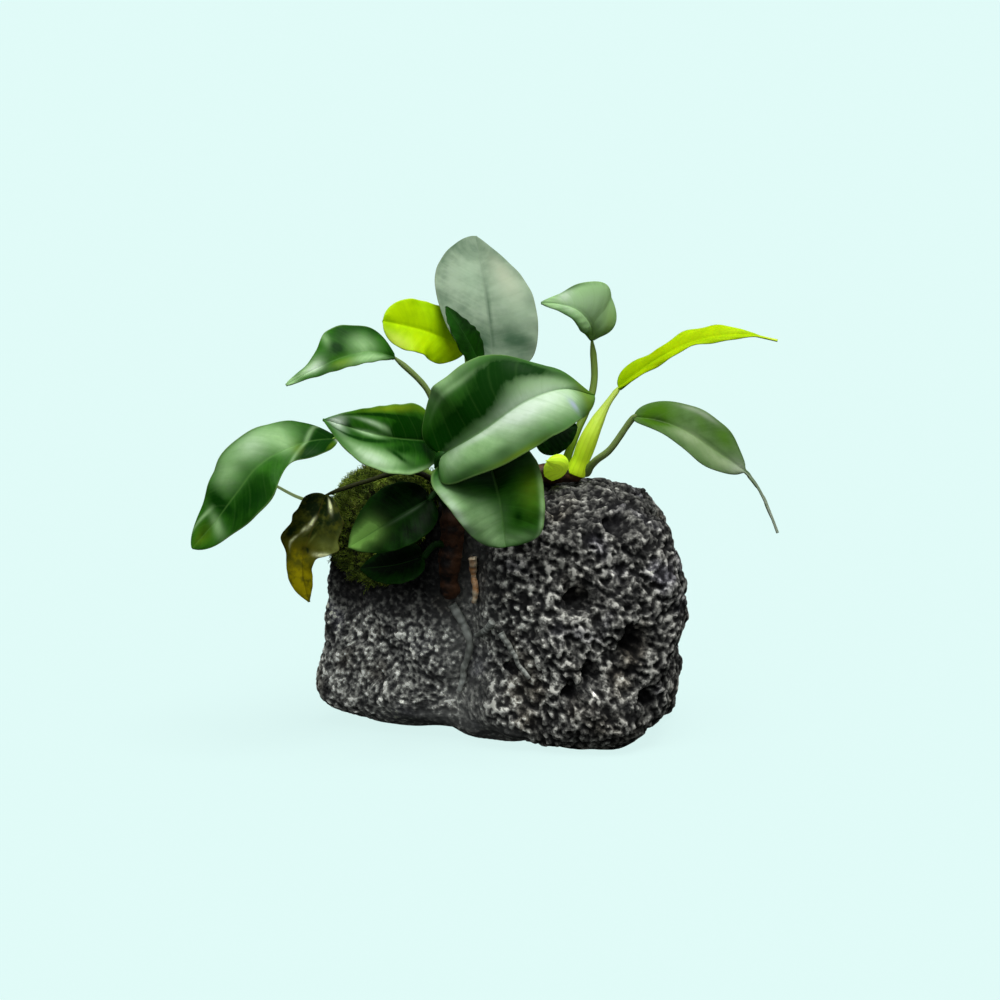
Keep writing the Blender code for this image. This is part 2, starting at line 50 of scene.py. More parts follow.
def makeCamera():
    lift = math.radians(view["elevation"])
    target = np.array(view["target"]) * mm
    camera = bpy.data.cameras.new("camera")
    camera.lens = view["lens"]
    camera.clip_end = 100
    eye = bpy.data.objects.new("camera", camera)
    eye.location = target + view["distance"] * mm * np.array((0, -math.cos(lift), math.sin(lift)))
    eye.rotation_euler = (math.pi / 2 - lift, 0, 0)
    bpy.context.scene.collection.objects.link(eye)
    bpy.context.scene.camera = eye


makeCamera()


# numbers, curves and noise

def unit(vectors):
    return vectors / np.maximum(np.linalg.norm(vectors, axis=-1, keepdims=True), 1e-12)


def ease(value, low, high):
    # 0 below low, 1 above high, and 3t^2 - 2t^3 between
    t = np.clip((value - low) / (high - low), 0, 1)
    return t * t * (3 - 2 * t)


def hump(value, middle, reach):
    # a bell, exp(-((value - middle) / reach)^2)
    return np.exp(-((value - middle) / reach) ** 2)


def throughKnots(knots, t):
    # Catmull-Rom curve at t from 0 to 1 through evenly spread knots, with its ends reflected
    knots = np.asarray(knots, float)
    padded = np.concatenate([[2 * knots[0] - knots[1]], knots, [2 * knots[-1] - knots[-2]]])
    x = np.clip(t, 0, 1) * (len(knots) - 1)
    i = np.minimum(x.astype(int), len(knots) - 2)
    f = (x - i).reshape(-1, *[1] * (knots.ndim - 1))
    a, b, c, d = (padded[i + k] for k in range(4))
    return 0.5 * (2 * b + (c - a) * f + (2 * a - 5 * b + 4 * c - d) * f**2
                  + (3 * b - a - 3 * c + d) * f**3)


def walked(knots, share):
    # the same curve, at shares of its length
    fine = np.linspace(0, 1, 300)
    steps = np.linalg.norm(np.diff(throughKnots(knots, fine), axis=0), axis=1)
    length = np.concatenate([[0], np.cumsum(steps)])
    return throughKnots(knots, np.interp(share * length[-1], length, fine))


def spread(value, share, depth=1):
    # one number (or direction, at depth 2) for the whole length, or a list from base to tip
    knots = np.array(value, float, ndmin=depth)
    return throughKnots(np.repeat(knots, 2, axis=0) if len(knots) == 1 else knots, share)


def scatter(cells, seed):
    # three numbers from 0 to 1 for each whole-number cell, mixed from its indices
    mixed = cells[..., 0] * 73856093 ^ cells[..., 1] * 19349663 ^ cells[..., 2] * 83492791
    mixed = (mixed ^ seed * 668265263) & 0xFFFFFFFF
    found = []
    for turn in (0x45D9F3B, 0x119DE1F3, 0x344B5409):
        mixed = ((mixed ^ mixed >> 16) * turn) & 0xFFFFFFFF
        mixed = mixed ^ mixed >> 15
        found.append(mixed / 0xFFFFFFFF)
    return np.stack(found, axis=-1)


def clouds(points, size, seed):
    # smooth noise from -1 to 1: numbers at the corners of cubes of this size, eased between
    spot = points / size
    cell = np.floor(spot).astype(np.int64)
    f = ease(spot - cell, 0, 1)
    total = 0
    for step in itertools.product((0, 1), repeat=3):
        share = np.prod(np.where(np.array(step), f, 1 - f), axis=-1)
        total = total + share * scatter(cell + np.array(step), seed)[..., 0]
    return total * 2 - 1


def bubbles(points, size, seed):
    # for each point, the distance to the nearest scattered centre, in cells, and a random
    # number of that centre
    spot = points / size
    cell = np.floor(spot).astype(np.int64)
    nearest = np.full(len(points), 9.0)
    mark = np.zeros(len(points))
    for step in itertools.product((-1, 0, 1), repeat=3):
        other = cell + np.array(step)
        away = np.linalg.norm(other + scatter(other, seed) - spot, axis=1)
        mark = np.where(away < nearest, scatter(other, seed + 7)[:, 0], mark)
        nearest = np.minimum(nearest, away)
    return nearest, mark


# meshes

def addMesh(name, points, quads, threes, marks):
    # a smooth mesh from arrays, with one number per vertex for each mark
    mesh = bpy.data.meshes.new(name)
    mesh.vertices.add(len(points))
    mesh.vertices.foreach_set("co", (points * mm).astype(np.float32).ravel())
    corners = np.concatenate([np.ravel(quads), np.ravel(threes)]).astype(np.int32)
    starts = np.concatenate([np.arange(len(quads)) * 4,
                             len(quads) * 4 + np.arange(len(threes)) * 3]).astype(np.int32)
    mesh.loops.add(len(corners))
    mesh.loops.foreach_set("vertex_index", corners)
    mesh.polygons.add(len(starts))
    mesh.polygons.foreach_set("loop_start", starts)
    mesh.update(calc_edges=True)
    mesh.shade_smooth()
    for mark, values in marks.items():
        mesh.attributes.new(mark, "FLOAT", "POINT").data.foreach_set(
            "value", np.asarray(values, np.float32).ravel())
    piece = bpy.data.objects.new(name, mesh)
    bpy.context.scene.collection.objects.link(piece)
    return piece


def closedTube(name, rings, marks):
    # rings of points from foot to tip, joined by quads, and closed by a pole at each end
    rows, columns = rings.shape[:2]
    count = rows * columns
    number = np.arange(count).reshape(rows, columns)
    after = np.roll(number, -1, axis=1)
    quads = np.stack([number[:-1], after[:-1], after[1:], number[1:]], -1).reshape(-1, 4)
    foot = np.stack([after[0], number[0], np.full(columns, count)], -1)
    tip = np.stack([number[-1], after[-1], np.full(columns, count + 1)], -1)
    points = np.concatenate([rings.reshape(-1, 3), rings[[0, -1]].mean(axis=1)])
    marks = {mark: np.concatenate([np.ravel(values), values[[0, -1]].mean(axis=1)])
             for mark, values in marks.items()}
    return addMesh(name, points, quads, np.concatenate([foot, tip]), marks)


def nodeName(kind, name):
    # a name as the frame writes it, such as leaf_mid_left for the leaf midLeft
    return kind + "_" + "".join("_" + c.lower() if c.isupper() else c for c in name)


def dress(piece, material, node):
    # the piece takes its material and rides on the frame in place of this CAD node
    piece.data.materials.append(material)
    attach(piece, "root")
    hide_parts(node)


# shader maths

class Wire:
    # a shader socket: sums, products and powers of wires and numbers add their Math nodes
    def __init__(self, socket):
        self.socket = socket

    def node(self, kind, inputs=(), out=0, **settings):
        # any node: its settings are set first, then the values or links of its sockets
        tree = self.socket.id_data
        made = tree.nodes.new("ShaderNode" + kind)
        for name, value in settings.items():
            if name == "stops":
                ramp = made.color_ramp.elements
                while len(ramp) < len(value):
                    ramp.new(0.5)
                for stop, (place, colour) in zip(ramp, value):
                    stop.position = place
                    stop.color = (*colour, 1)
            else:
                setattr(made, name, value)
        for name, value in dict(inputs).items():
            socket = made.inputs[name]
            if isinstance(value, Wire):
                tree.links.new(value.socket, socket)
            elif socket.type == "RGBA":
                socket.default_value = (*value, 1)
            else:
                socket.default_value = value
        return Wire(made.outputs[out])

    def math(self, operation, *others):
        return self.node("Math", enumerate((self, *others)), operation=operation)

    def __add__(self, other):
        return self.math("ADD", other)

    def __sub__(self, other):
        return self.math("SUBTRACT", other)

    def __rsub__(self, other):
        return self.node("Math", enumerate((other, self)), operation="SUBTRACT")

    def __mul__(self, other):
        return self.math("MULTIPLY", other)

    def __pow__(self, other):
        return self.math("POWER", other)

    def __abs__(self):
        return self.math("ABSOLUTE")

    __radd__ = __add__
    __rmul__ = __mul__

    def ease(self, low, high):
        # 0 to 1 as this goes from low to high, eased
        return self.node("MapRange", enumerate((self, low, high, 0.0, 1.0)),
                         interpolation_type="SMOOTHSTEP")

    def mark(self, name):
        return self.node("Attribute", out="Fac", attribute_name=name)

    def colour(self, first, second, blend="MIX"):
        # first colour where this is 0, second where it is 1
        return self.node("Mix", {0: self, 6: first, 7: second}, 2, data_type="RGBA",
                         blend_type=blend, clamp_factor=True)

    def noise(self, scale, detail, rough=0.55):
        return self.node("TexNoise", dict(Vector=self, Scale=scale, Detail=detail,
                                          Roughness=rough), "Fac")


def newMaterial(name, fixed):
    # a Principled material with its constant sockets set, and wires for the start and the shader
    material = bpy.data.materials.new(name)
    material.use_nodes = True
    shader = material.node_tree.nodes["Principled BSDF"]
    for socket, value in fixed.items():
        shader.inputs[socket].default_value = value
    place = Wire(shader.outputs[0]).node("TexCoord", out="Object")
    return material, shader, place


def feed(shader, colour, height, depth, strength=1.0, roughness=None):
    # links what varies over a surface: its colour, its height (depth is in mm), its roughness
    links = shader.id_data.links
    links.new(colour.socket, shader.inputs["Base Color"])
    bump = height.node("Bump", dict(Strength=strength, Distance=depth * mm, Height=height))
    links.new(bump.socket, shader.inputs["Normal"])
    if roughness:
        links.new(roughness.socket, shader.inputs["Roughness"])


# stone

stone = dict(
    middle=(2, 2, 36),
    core=(4, 42),  # y and z of the line that rods are laid towards
    crispness=11,
    planes=(  # a point of each and its normal
        ((24, -31, 35), (0.12, -0.98, 0.14)), ((-25, -14, 35), (-0.42, -0.90, 0.06)),
        ((-56.5, 0, 30), (-0.99, 0, 0.12)), ((56.5, 0, 36), (0.99, -0.05, 0.08)),
        ((10, 0, 76), (0.03, -0.10, 1)), ((48.2, 0, 68.7), (0.72, -0.10, 0.69)),
        ((-40, 0, 71), (-0.55, -0.10, 0.83)), ((20, -25, 68), (0, -0.66, 0.75)),
        ((0, 31, 35), (0.05, 0.97, 0.20)), ((0, 24, 68), (0, 0.70, 0.71)),
        ((45, 22, 35), (0.70, 0.71, 0.05)), ((-42, 22, 30), (-0.70, 0.71, 0.10)),
        ((52, -10, 9.5), (0.75, -0.30, -0.58)), ((-56.5, 0, 10.5), (-0.85, -0.20, -0.50)),
        ((-30, -12, 5.5), (-0.22, -0.42, -0.75)), ((0, 0, -3), (0, 0, -1))),
    hollows=(  # middle, reach and depth
        ((52, -22, 22), 6, 2.5), ((57, -14, 27), 9, 3.4), ((57, 2, 28), 9, 3.4),
        ((56, 16, 29), 9, 3.4), ((-56, 0, 28), 7, -1.6), ((-50, 0, 8), 9, -2.6),
        ((-54, -8, 50), 8, 2.5), ((8, -31, 24), 7, 1.6), ((36, -31, 46), 8, -1.5),
        ((-32, -16, 26), 13, -2.5), ((12, -31, 38), 9, -1.5), ((-20, 30, 40), 12, 3),
        ((30, 31, 52), 9, 2.5), ((8, 31, 20), 10, -2)),
    holes=(  # the same, with steep sides
        ((34.5, -22, 69), 4.4, 5), ((23.5, -30, 47), 4.2, 5), ((40.5, -30, 33.5), 5.2, 5.5),
        ((27.5, -31, 24), 3.4, 4), ((21.5, -32.5, 18), 3.6, 4), ((44, -29, 16), 3.4, 3),
        ((4, -29, 24), 3.4, 3), ((-38, -12, 18), 3.6, 3), ((4, 32, 47), 4.8, 5),
        ((-28, 29, 22), 4.6, 4.5), ((33, 31, 27), 4.4, 4.5), ((57, 8, 47), 4.4, 4),
        ((-56, 6, 40), 4.2, 4), ((36, 6, 77), 4.2, 4)),
    groove=dict(x=-11, lean=0.03, reach=6, depth=5, low=4, high=72),
    waves=((0.7, (0.21, 0.13, 0.17)), (0.7, (-0.12, 0.24, 0.19)), (0.7, (0.15, -0.19, 0.27))),
    lumps=(  # shorter waves, which fade towards the smoother left end
        (0.3, (0.55, 0.20, 0.31)), (0.3, (-0.38, 0.35, 0.42)), (0.3, (0.31, -0.48, -0.36)),
        (0.3, (0.46, 0.38, -0.40)), (0.25, (0.12, -0.33, 0.61)), (0.25, (-0.62, -0.21, 0.18))),
    cells=(176, 96, 116),
    halves=(57, 31, 38),
    turned=((0.36, -0.8, 0.48), (0.48, 0.6, 0.64), (-0.8, 0, 0.6)),  # the noise's own axes
    coarse=dict(size=1.15, low=-0.55, high=0.45, depth=1.15),
    fine=dict(size=0.95, low=-0.8, high=0.8, depth=0.6),
    pits=dict(size=5.0, depth=0.8),
    # (x, z) on the front of the painted glints
    glints=((44.2, 53.8), (32.8, 53.8), (35.4, 23), (27.2, 18.8), (-29.5, 11), (-35.7, 11)),
    greys=((0.0, (0.004, 0.004, 0.0045)), (0.2, (0.024, 0.024, 0.024)),
           (0.5, (0.105, 0.104, 0.098)), (0.8, (0.23, 0.228, 0.212)), (1.0, (0.50, 0.495, 0.46))),
    brown=(0.62, 0.48, 0.30), blue=(0.38, 0.36, 0.66),
    worn=((0.08, 0.084, 0.084), (0.21, 0.215, 0.21)))


def stoneSkin(directions):
    # distance = (sum of (direction . normal / height)^crispness)^(-1/crispness), then hollows,
    # holes, the groove and waves move it in, and z is kept above 0; and how deep in a hole it is
    middle = np.array(stone["middle"], float)
    closeness = 0
    for place, normal in stone["planes"]:
        normal = unit(np.array(normal, float))
        height = normal @ (np.array(place) - middle)
        closeness = closeness + (np.maximum(directions @ normal, 0) / height) ** stone["crispness"]
    points = middle + directions * (closeness ** (-1 / stone["crispness"]))[:, None]
    inward = 0
    for place, reach, depth in stone["hollows"]:
        inward = inward + depth * np.exp(-((points - np.array(place)) ** 2).sum(axis=1) / reach**2)
    hole = 0
    for place, reach, depth in stone["holes"]:
        away = ((points - np.array(place)) ** 2).sum(axis=1)
        inward = inward + depth * np.exp(-(away / reach**2) ** 2)
        hole = hole + hump(away / reach**2, 0, 0.9)
    groove = stone["groove"]
    side = (points[:, 0] - groove["x"] - groove["lean"] * (points[:, 2] - 36)) / groove["reach"]
    level = np.clip((points[:, 2] - groove["low"]) / 12, 0, 1)
    level = level * np.clip((groove["high"] - points[:, 2]) / 12, 0, 1)
    inward = inward + (groove["depth"] * np.exp(-side**2)
                       * np.clip(-directions[:, 1] * 3, 0, 1) * level)
    fade = np.clip(0.6 + points[:, 0] / 80, 0.2, 1)
    for number, (height, turns) in enumerate(stone["waves"] + stone["lumps"]):
        lift = height * np.sin(points @ np.array(turns) + 1.7 * number)
        inward = inward + lift * (fade if number >= len(stone["waves"]) else 1)
    points = points - directions * inward[:, None]
    points[:, 2] = np.maximum(points[:, 2], 0)
    return points, np.clip(hole, 0, 1)


def boxGrid(counts):
    # the six sides of a cube as square grids, sharing the vertices along its edges
    sheets = []
    for axis, sign in itertools.product(range(3), (-1, 1)):
        u, v = (axis + 1) % 3, (axis + 2) % 3
        grid = np.empty((counts[u] + 1, counts[v] + 1, 3))
        grid[..., axis] = sign
        grid[..., u] = np.linspace(-1, 1, counts[u] + 1)[:, None]
        grid[..., v] = np.linspace(-1, 1, counts[v] + 1)
        sheets.append((grid, sign))
    every = np.concatenate([grid.reshape(-1, 3) for grid, _ in sheets])
    _, first, index = np.unique(np.round(every, 6), axis=0, return_index=True, return_inverse=True)
    index = index.ravel()
    quads, start = [], 0
    for grid, sign in sheets:
        number = index[start:start + grid[..., 0].size].reshape(grid.shape[:2])
        start += number.size
        loops = np.stack([number[:-1, :-1], number[1:, :-1], number[1:, 1:], number[:-1, 1:]], -1)
        quads.append(loops.reshape(-1, 4)[:, ::sign])
    return every[first], np.concatenate(quads)


def vertexNormals(points, quads):
    # the sum of the cross products of the diagonals of the quads round each vertex
    across = np.cross(points[quads[:, 2]] - points[quads[:, 0]],
                      points[quads[:, 3]] - points[quads[:, 1]])
    total = np.zeros_like(points)
    for corner in range(4):
        np.add.at(total, quads[:, corner], across)
    return unit(total)


def stoneRelief(points, normals):
    # grains are soft noise cut by eased limits, about half above and half below the skin, coarse
    # at the right and fine at the left, with pits between them; the marks say how high a grain
    # is, its tone, the gain of its colour and where it isn't worn smooth; grain and tone also
    # carry painted shade and painted glints
    x, _, z = points.T
    front = ease(-normals[:, 1], 0, 0.4)
    turned = points @ np.array(stone["turned"])
    rough = ease(x + 6 * clouds(points, 14, 5), -14, 4)
    grain, lift = 0, 0
    for share, kind, seed in ((rough, stone["coarse"], 11), (1 - rough, stone["fine"], 12)):
        cloud = clouds(turned, kind["size"], seed)
        cloud = cloud + 0.15 * clouds(turned, 3 * kind["size"], seed + 9)
        raised = ease(cloud, kind["low"], kind["high"])
        grain = grain + share * raised
        lift = lift + share * kind["depth"] * (raised - 0.55)
    bent = turned + 0.8 * clouds(points, 2.5, 8)[:, None]
    near, random = bubbles(bent, stone["pits"]["size"], 14)
    pit = ease(near, 0.36, 0.22) * ease(random, 0.5, 0.65)

    # worn in the groove and in a slanting band over the foot at the left
    smooth = hump(x, stone["groove"]["x"], 7) * front * 0.6
    band = ease(z + 0.12 * (x + 20) + 2 * clouds(points, 9, 6), 11, 5)
    band = band * ease(x, 14, 2) * ease(x, -45, -30)
    calm = 1 - np.clip(smooth + 0.8 * band, 0, 0.85)

    # brighter low at the left and beside the roots; darker on the upward faces and under the
    # leaves, both painted shade
    tone = (1.15 + 0.15 * clouds(points, 8, 15)) * (1 - 0.3 * ease(normals[:, 2], 0.3, 0.9))
    gain = 1 + 2.8 * (1 - rough) * ease(z, 50, 34) + 1.1 * hump(x, 4, 14) * ease(z, 58, 44)
    # painted shadow of the leaves, over the upper left of the front
    shaded = ease(x, -54, -46) * ease(x, -4, -20) * front
    shaded = shaded * ease(z + 3 * clouds(points, 7, 17), 34, 42)
    # painted shade: darker in the pits and in the leaves' painted shadow
    grain = grain * (1 - 0.8 * pit) * (1 - 0.6 * shaded)
    # painted highlights: bright glints at the listed spots on the front
    for glintX, glintZ in stone["glints"]:
        glint = hump(np.hypot(x - glintX, z - glintZ), 0, 0.9) * front
        grain, tone, gain = np.maximum(grain, glint), tone + glint, gain + 2 * glint

    # lower where it is worn, at the right end and at the foot
    side = ease(x, 44, 56) * ease(z, 55, 40) * 0.5
    lift = (lift - stone["pits"]["depth"] * pit) * calm * (1 - side) * ease(z, 0.05, 2.5)
    return lift, dict(grain=grain, tone=tone, gain=gain, calm=calm)


def stoneMaterial():
    # grains from black to pale grey, with painted glints of sparkle, and browner or bluer in
    # places, over the grey of the worn skin; holes are darkened, painted shade
    material, shader, place = newMaterial(
        "lavaStone", {"Roughness": 0.95, "Specular IOR Level": 0.1})
    grain, tone, gain, calm, hole = (
        place.mark(name) for name in ("grain", "tone", "gain", "calm", "hole"))
    crumbs = place.noise(900, 4, 0.65)
    worm = place.noise(700, 2, 0.5).ease(0.30, 0.66)
    wall = (0.1 + 0.9 * grain) * (0.7 + 0.5 * crumbs.ease(0.3, 0.72)) * (0.3 + 0.9 * worm)
    # painted glints on the grains
    sparkle = place.noise(420, 2, 0.6).ease(0.66, 0.74)
    wall = wall * tone * (0.72 + 0.4 * place.noise(120, 3).ease(0.3, 0.7)) + 0.5 * sparkle * grain
    # painted shade in the holes
    grey = place.node("ValToRGB", dict(Fac=wall * (1 - 0.9 * hole)), stops=stone["greys"])
    grey = grey.node("VectorMath", {0: grey, "Scale": gain}, operation="SCALE")
    warmth = place.noise(45, 2)
    grey = (warmth.ease(0.55, 0.7) * 0.35).colour(grey, stone["brown"], "SOFT_LIGHT")
    grey = (warmth.ease(0.42, 0.30) * 0.35).colour(grey, stone["blue"], "SOFT_LIGHT")
    smooth = (0.6 + 0.8 * place.noise(170, 3)).colour(*stone["worn"])
    grey = ((1 - calm) * 0.75).colour(grey, smooth)
    feed(shader, grey, crumbs * 0.7 + grain * 0.4, 0.35, 0.8)
    return material


def makeStone():
    # the cube's vertices, spread evenly over the stone, are cast onto its skin and then raised
    cube, quads = boxGrid(stone["cells"])
    directions = unit(np.tan(cube * math.pi / 4) * np.array(stone["halves"]))
    points, hole = stoneSkin(directions)
    normals = vertexNormals(points, quads)
    lift, marks = stoneRelief(points, normals)
    points = points + normals * lift[:, None]
    points[:, 2] = np.maximum(points[:, 2], 0)
    piece = addMesh("lavaStone", points, quads, np.empty((0, 3)), marks | dict(hole=hole))
    dress(piece, stoneMaterial(), "stone")


makeStone()
print("stone made")

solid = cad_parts["stone"].data
stoneTree = BVHTree.FromPolygons([tuple(v.co / mm) for v in solid.vertices],
                                 [tuple(f.vertices) for f in solid.polygons])
gap = 0.35


def laidOnStone(points, radii):
    # dropped towards the stone's core until a rod of these radii nearly touches
    laid = []
    for place, radius in zip(points, radii):
        start = Vector(place)
        inward = (Vector((place[0], *stone["core"])) - start).normalized()
        hit, normal = stoneTree.ray_cast(start - inward * 200, inward)[:2]
        laid.append(np.array(hit - inward * (radius + gap) / max(-inward.dot(normal), 0.5)))
    return np.array(laid)


# rods: stems, rhizome and roots

def rodRings(axis, radii, sides, relief=0):
    # circles of these radii across the axis; relief adds mm for each (row, angle)
    forward = unit(np.gradient(axis, axis=0))
    guide = np.array((0.13, -0.97, 0.2)) + 0 * forward
    sideways = unit(np.cross(forward, guide))
    upward = np.cross(sideways, forward)
    angle = np.arange(sides) * 2 * math.pi / sides
    size = (radii[:, None] + relief) * np.ones(sides)
    return (axis[:, None] - sideways[:, None] * (np.cos(angle) * size)[..., None]
            + upward[:, None] * (np.sin(angle) * size)[..., None])


def addRod(name, axis, radii, sides, material, node, relief=None):
    # a closed rod; relief gives how far its skin is raised at the points of the plain rod
    rings = rodRings(axis, radii, sides)
    if relief:
        rings = rodRings(axis, radii, sides, relief(rings))
    share = np.linspace(0, 1, len(axis))[:, None] + np.zeros(sides)
    turn = np.linspace(0, 1, sides, endpoint=False) + np.zeros((len(axis), 1))
    dress(closedTube(name, rings, dict(along=share, turn=turn)), material, node)


rhizome = dict(
    radius=3.6, sizes=(0.7, 0.85, 1, 1.05, 1, 0.95, 0.8, 0.6),
    path=((-14.5, -30, 46), (-15, -29, 58), (-14, -28, 70), (-13, -22, 80), (-10, -12, 85),
          (2, -6, 85), (14, -3, 85), (25.5, -1, 84)),
    rows=240, sides=40, bulge=0.06, bulges=46, clear=0.6, scar=0.16,
    lumps=((0.35, 2.6, 21), (0.18, 1.0, 22)),  # height, size and seed
    light=(0.085, 0.032, 0.012), dark=(0.004, 0.003, 0.003), rings=90)


def barkMaterial(name, light, dark, rings):
    # a rod's skin: rings round it, streaks along it, and blotches
    material, shader, place = newMaterial(name, {"Specular IOR Level": 0.35})
    along, turn = place.mark("along"), place.mark("turn")
    blotch = place.noise(220, 4)
    ring = (along * rings + blotch * 4).math("SINE")
    streak = place.noise(700, 3)
    tone = (ring * 0.15 + 0.35) * 0.5 + blotch.ease(0.35, 0.65) * 0.5 + streak * 0.3
    colour = tone.ease(0.2, 0.85).colour(dark, light)
    feed(shader, colour, ring * 0.4 + streak + blotch, 0.3, roughness=0.75 - 0.25 * streak)
    return material


def makeRhizome():
    # a bulging rod laid on the stone, with scars round it and two sizes of lumps
    coarse = np.linspace(0, 1, 23)
    knots = np.linspace(0, 1, len(rhizome["sizes"]))
    radii = (rhizome["radius"] * np.interp(coarse, knots, rhizome["sizes"])
             * (1 + rhizome["bulge"] * np.sin(coarse * rhizome["bulges"])))
    axis = laidOnStone(walked(rhizome["path"], coarse), radii + rhizome["clear"])
    axis[1:-1] = (axis[:-2] + 2 * axis[1:-1] + axis[2:]) / 4
    share = np.linspace(0, 1, rhizome["rows"])
    size = throughKnots(radii, share)
    size = size * (1 - 0.5 * ease(share, 0.97, 1) - 0.2 * ease(share, 0.03, 0))
    scars = rhizome["scar"] * np.sin(share * rhizome["bulges"] * 1.3)[:, None] ** 3

    def raised(rings):
        lumps = (height * clouds(rings, lump, seed) for height, lump, seed in rhizome["lumps"])
        return sum(lumps, scars)

    skin = barkMaterial("rhizomeBark", rhizome["light"], rhizome["dark"], rhizome["rings"])
    addRod("rhizomeBark", throughKnots(axis, share), size, rhizome["sides"], skin,
           "rhizome", raised)
    return axis


rhizomeAxis = makeRhizome()
print("rhizome made")

# leaves

leafBasics = dict(  # angles in degrees; left and right are factors of each half's width
    fold=15, curl=-20, foldLeft=0, foldRight=0, curlLeft=0, curlRight=0, belly=0.5, taper=0.8,
    tail=0, tailWidth=0.09, left=1, right=1, lobe=0.25, skew=0, wave=0, waves=1.5,
    ruffle=0.25, ruffles=6, thick=0.6, veins=9, quilt=0.035, ragged=0, finish="green")
blade = dict(
    leastWidth=0.9, margin=0.3,  # across the base and the tip; how thick the margin is left
    groove=0.25, grooveReach=0.55, keel=0.75, keelReach=0.45, keelMore=0.75,
    veinSweep=0.16, veinBend=1.3)  # how far towards the tip a side vein runs on its way out


def halfWidth(share, form):
    # (body / widest)^belly * ((1 - body) / (1 - widest))^taper, and a thin tail if asked
    body = np.clip(share / (1 - form["tail"]), 0, 1)
    widest = form["belly"] / (form["belly"] + form["taper"])
    size = (body / widest) ** form["belly"] * ((1 - body) / (1 - widest)) ** form["taper"]
    if form["tail"]:
        size = size + form["tailWidth"] * (1 - share) * np.clip(body * 1.5, 0, 1)
    return size * form["width"] / 2


def leafSheet(form, share, place):
    # each half leaves the midrib at the fold angle and bends on by the curl angle, as an arc:
    # level = size (sin(fold + curl out) - sin fold) / curl, height the same with cosines; the
    # lobe draws the base back, and waves and ruffles lift the blade
    middle = walked(form["rib"], share)
    forward = unit(walked(form["rib"], share + 1e-3) - walked(form["rib"], share - 1e-3))
    sideways = unit(np.cross(forward, spread(form["face"], share, 2)))
    upward = np.cross(sideways, forward)
    half = halfWidth(share, form)
    out, isRight = np.abs(place), place >= 0

    def halves(name):
        left, right = (spread(form[name + side], share) for side in ("Left", "Right"))
        return np.where(isRight, right[:, None], left[:, None])

    fold = np.radians(spread(form["fold"], share)[:, None] + halves("fold"))
    bend = np.radians(spread(form["curl"], share)[:, None] + halves("curl"))
    bend = np.where(np.abs(bend) < 1e-4, 1e-4, bend)
    left, right = (spread(form[side], share)[:, None] for side in ("left", "right"))
    size = np.maximum(half[:, None] * np.where(isRight, right, left), blade["leastWidth"] / 2)
    level = size * (np.sin(fold + bend * out) - np.sin(fold)) / bend
    height = size * (np.cos(fold) - np.cos(fold + bend * out)) / bend
    arch = np.sin(math.pi * share)[:, None]
    turn = 2 * math.pi * (form["waves"] * share[:, None] + np.where(isRight, 0, 0.37))
    height = height + form["wave"] * out**2 * np.sin(turn) * arch
    turn = 2 * math.pi * form["ruffles"] * share[:, None] + np.where(isRight, 0, 2)
    height = height + form["ruffle"] * out**4 * np.sin(turn) * arch
    back = form["lobe"] * out**1.5 * (1 - share[:, None]) ** 3 - form["skew"] * place
    back = back * half[:, None]
    if form["ragged"]:
        torn = clouds(np.stack(np.broadcast_arrays(share[:, None] * form["raggedness"],
                                                   np.sign(place), 0), -1), 1, 31)
        level = level * (1 + form["ragged"] * torn * out**3)
    return (middle[:, None] + sideways[:, None] * (level * np.sign(place))[..., None]
            + upward[:, None] * height[..., None] - forward[:, None] * back[..., None])


def veinPhase(form, share, place):
    # whole numbers lie on the side veins, which sweep towards the tip as they near the margin
    swept = share[:, None] - blade["veinSweep"] * np.abs(place) ** blade["veinBend"]
    return form["veins"] * swept + 0.5 * (place > 0)


# Kinds of patch, painted in this order: pale is painted sheen and lit parts, with the paler
# margins of some leaves; shine is painted highlight; warm is the leaf's own olive and brown
# colour; dark is painted shade, with the top leaf's darker midrib; spot is a bluish spot on the
# front leaf, pale flecks on the old leaf and a dark patch at the base of the tailed leaf. A leaf
# lists those it has, each with its share and place, its reach along and across, its strength
# and, where it lies aslant, its share per place.
patches = ("pale", "shine", "warm", "dark", "spot")


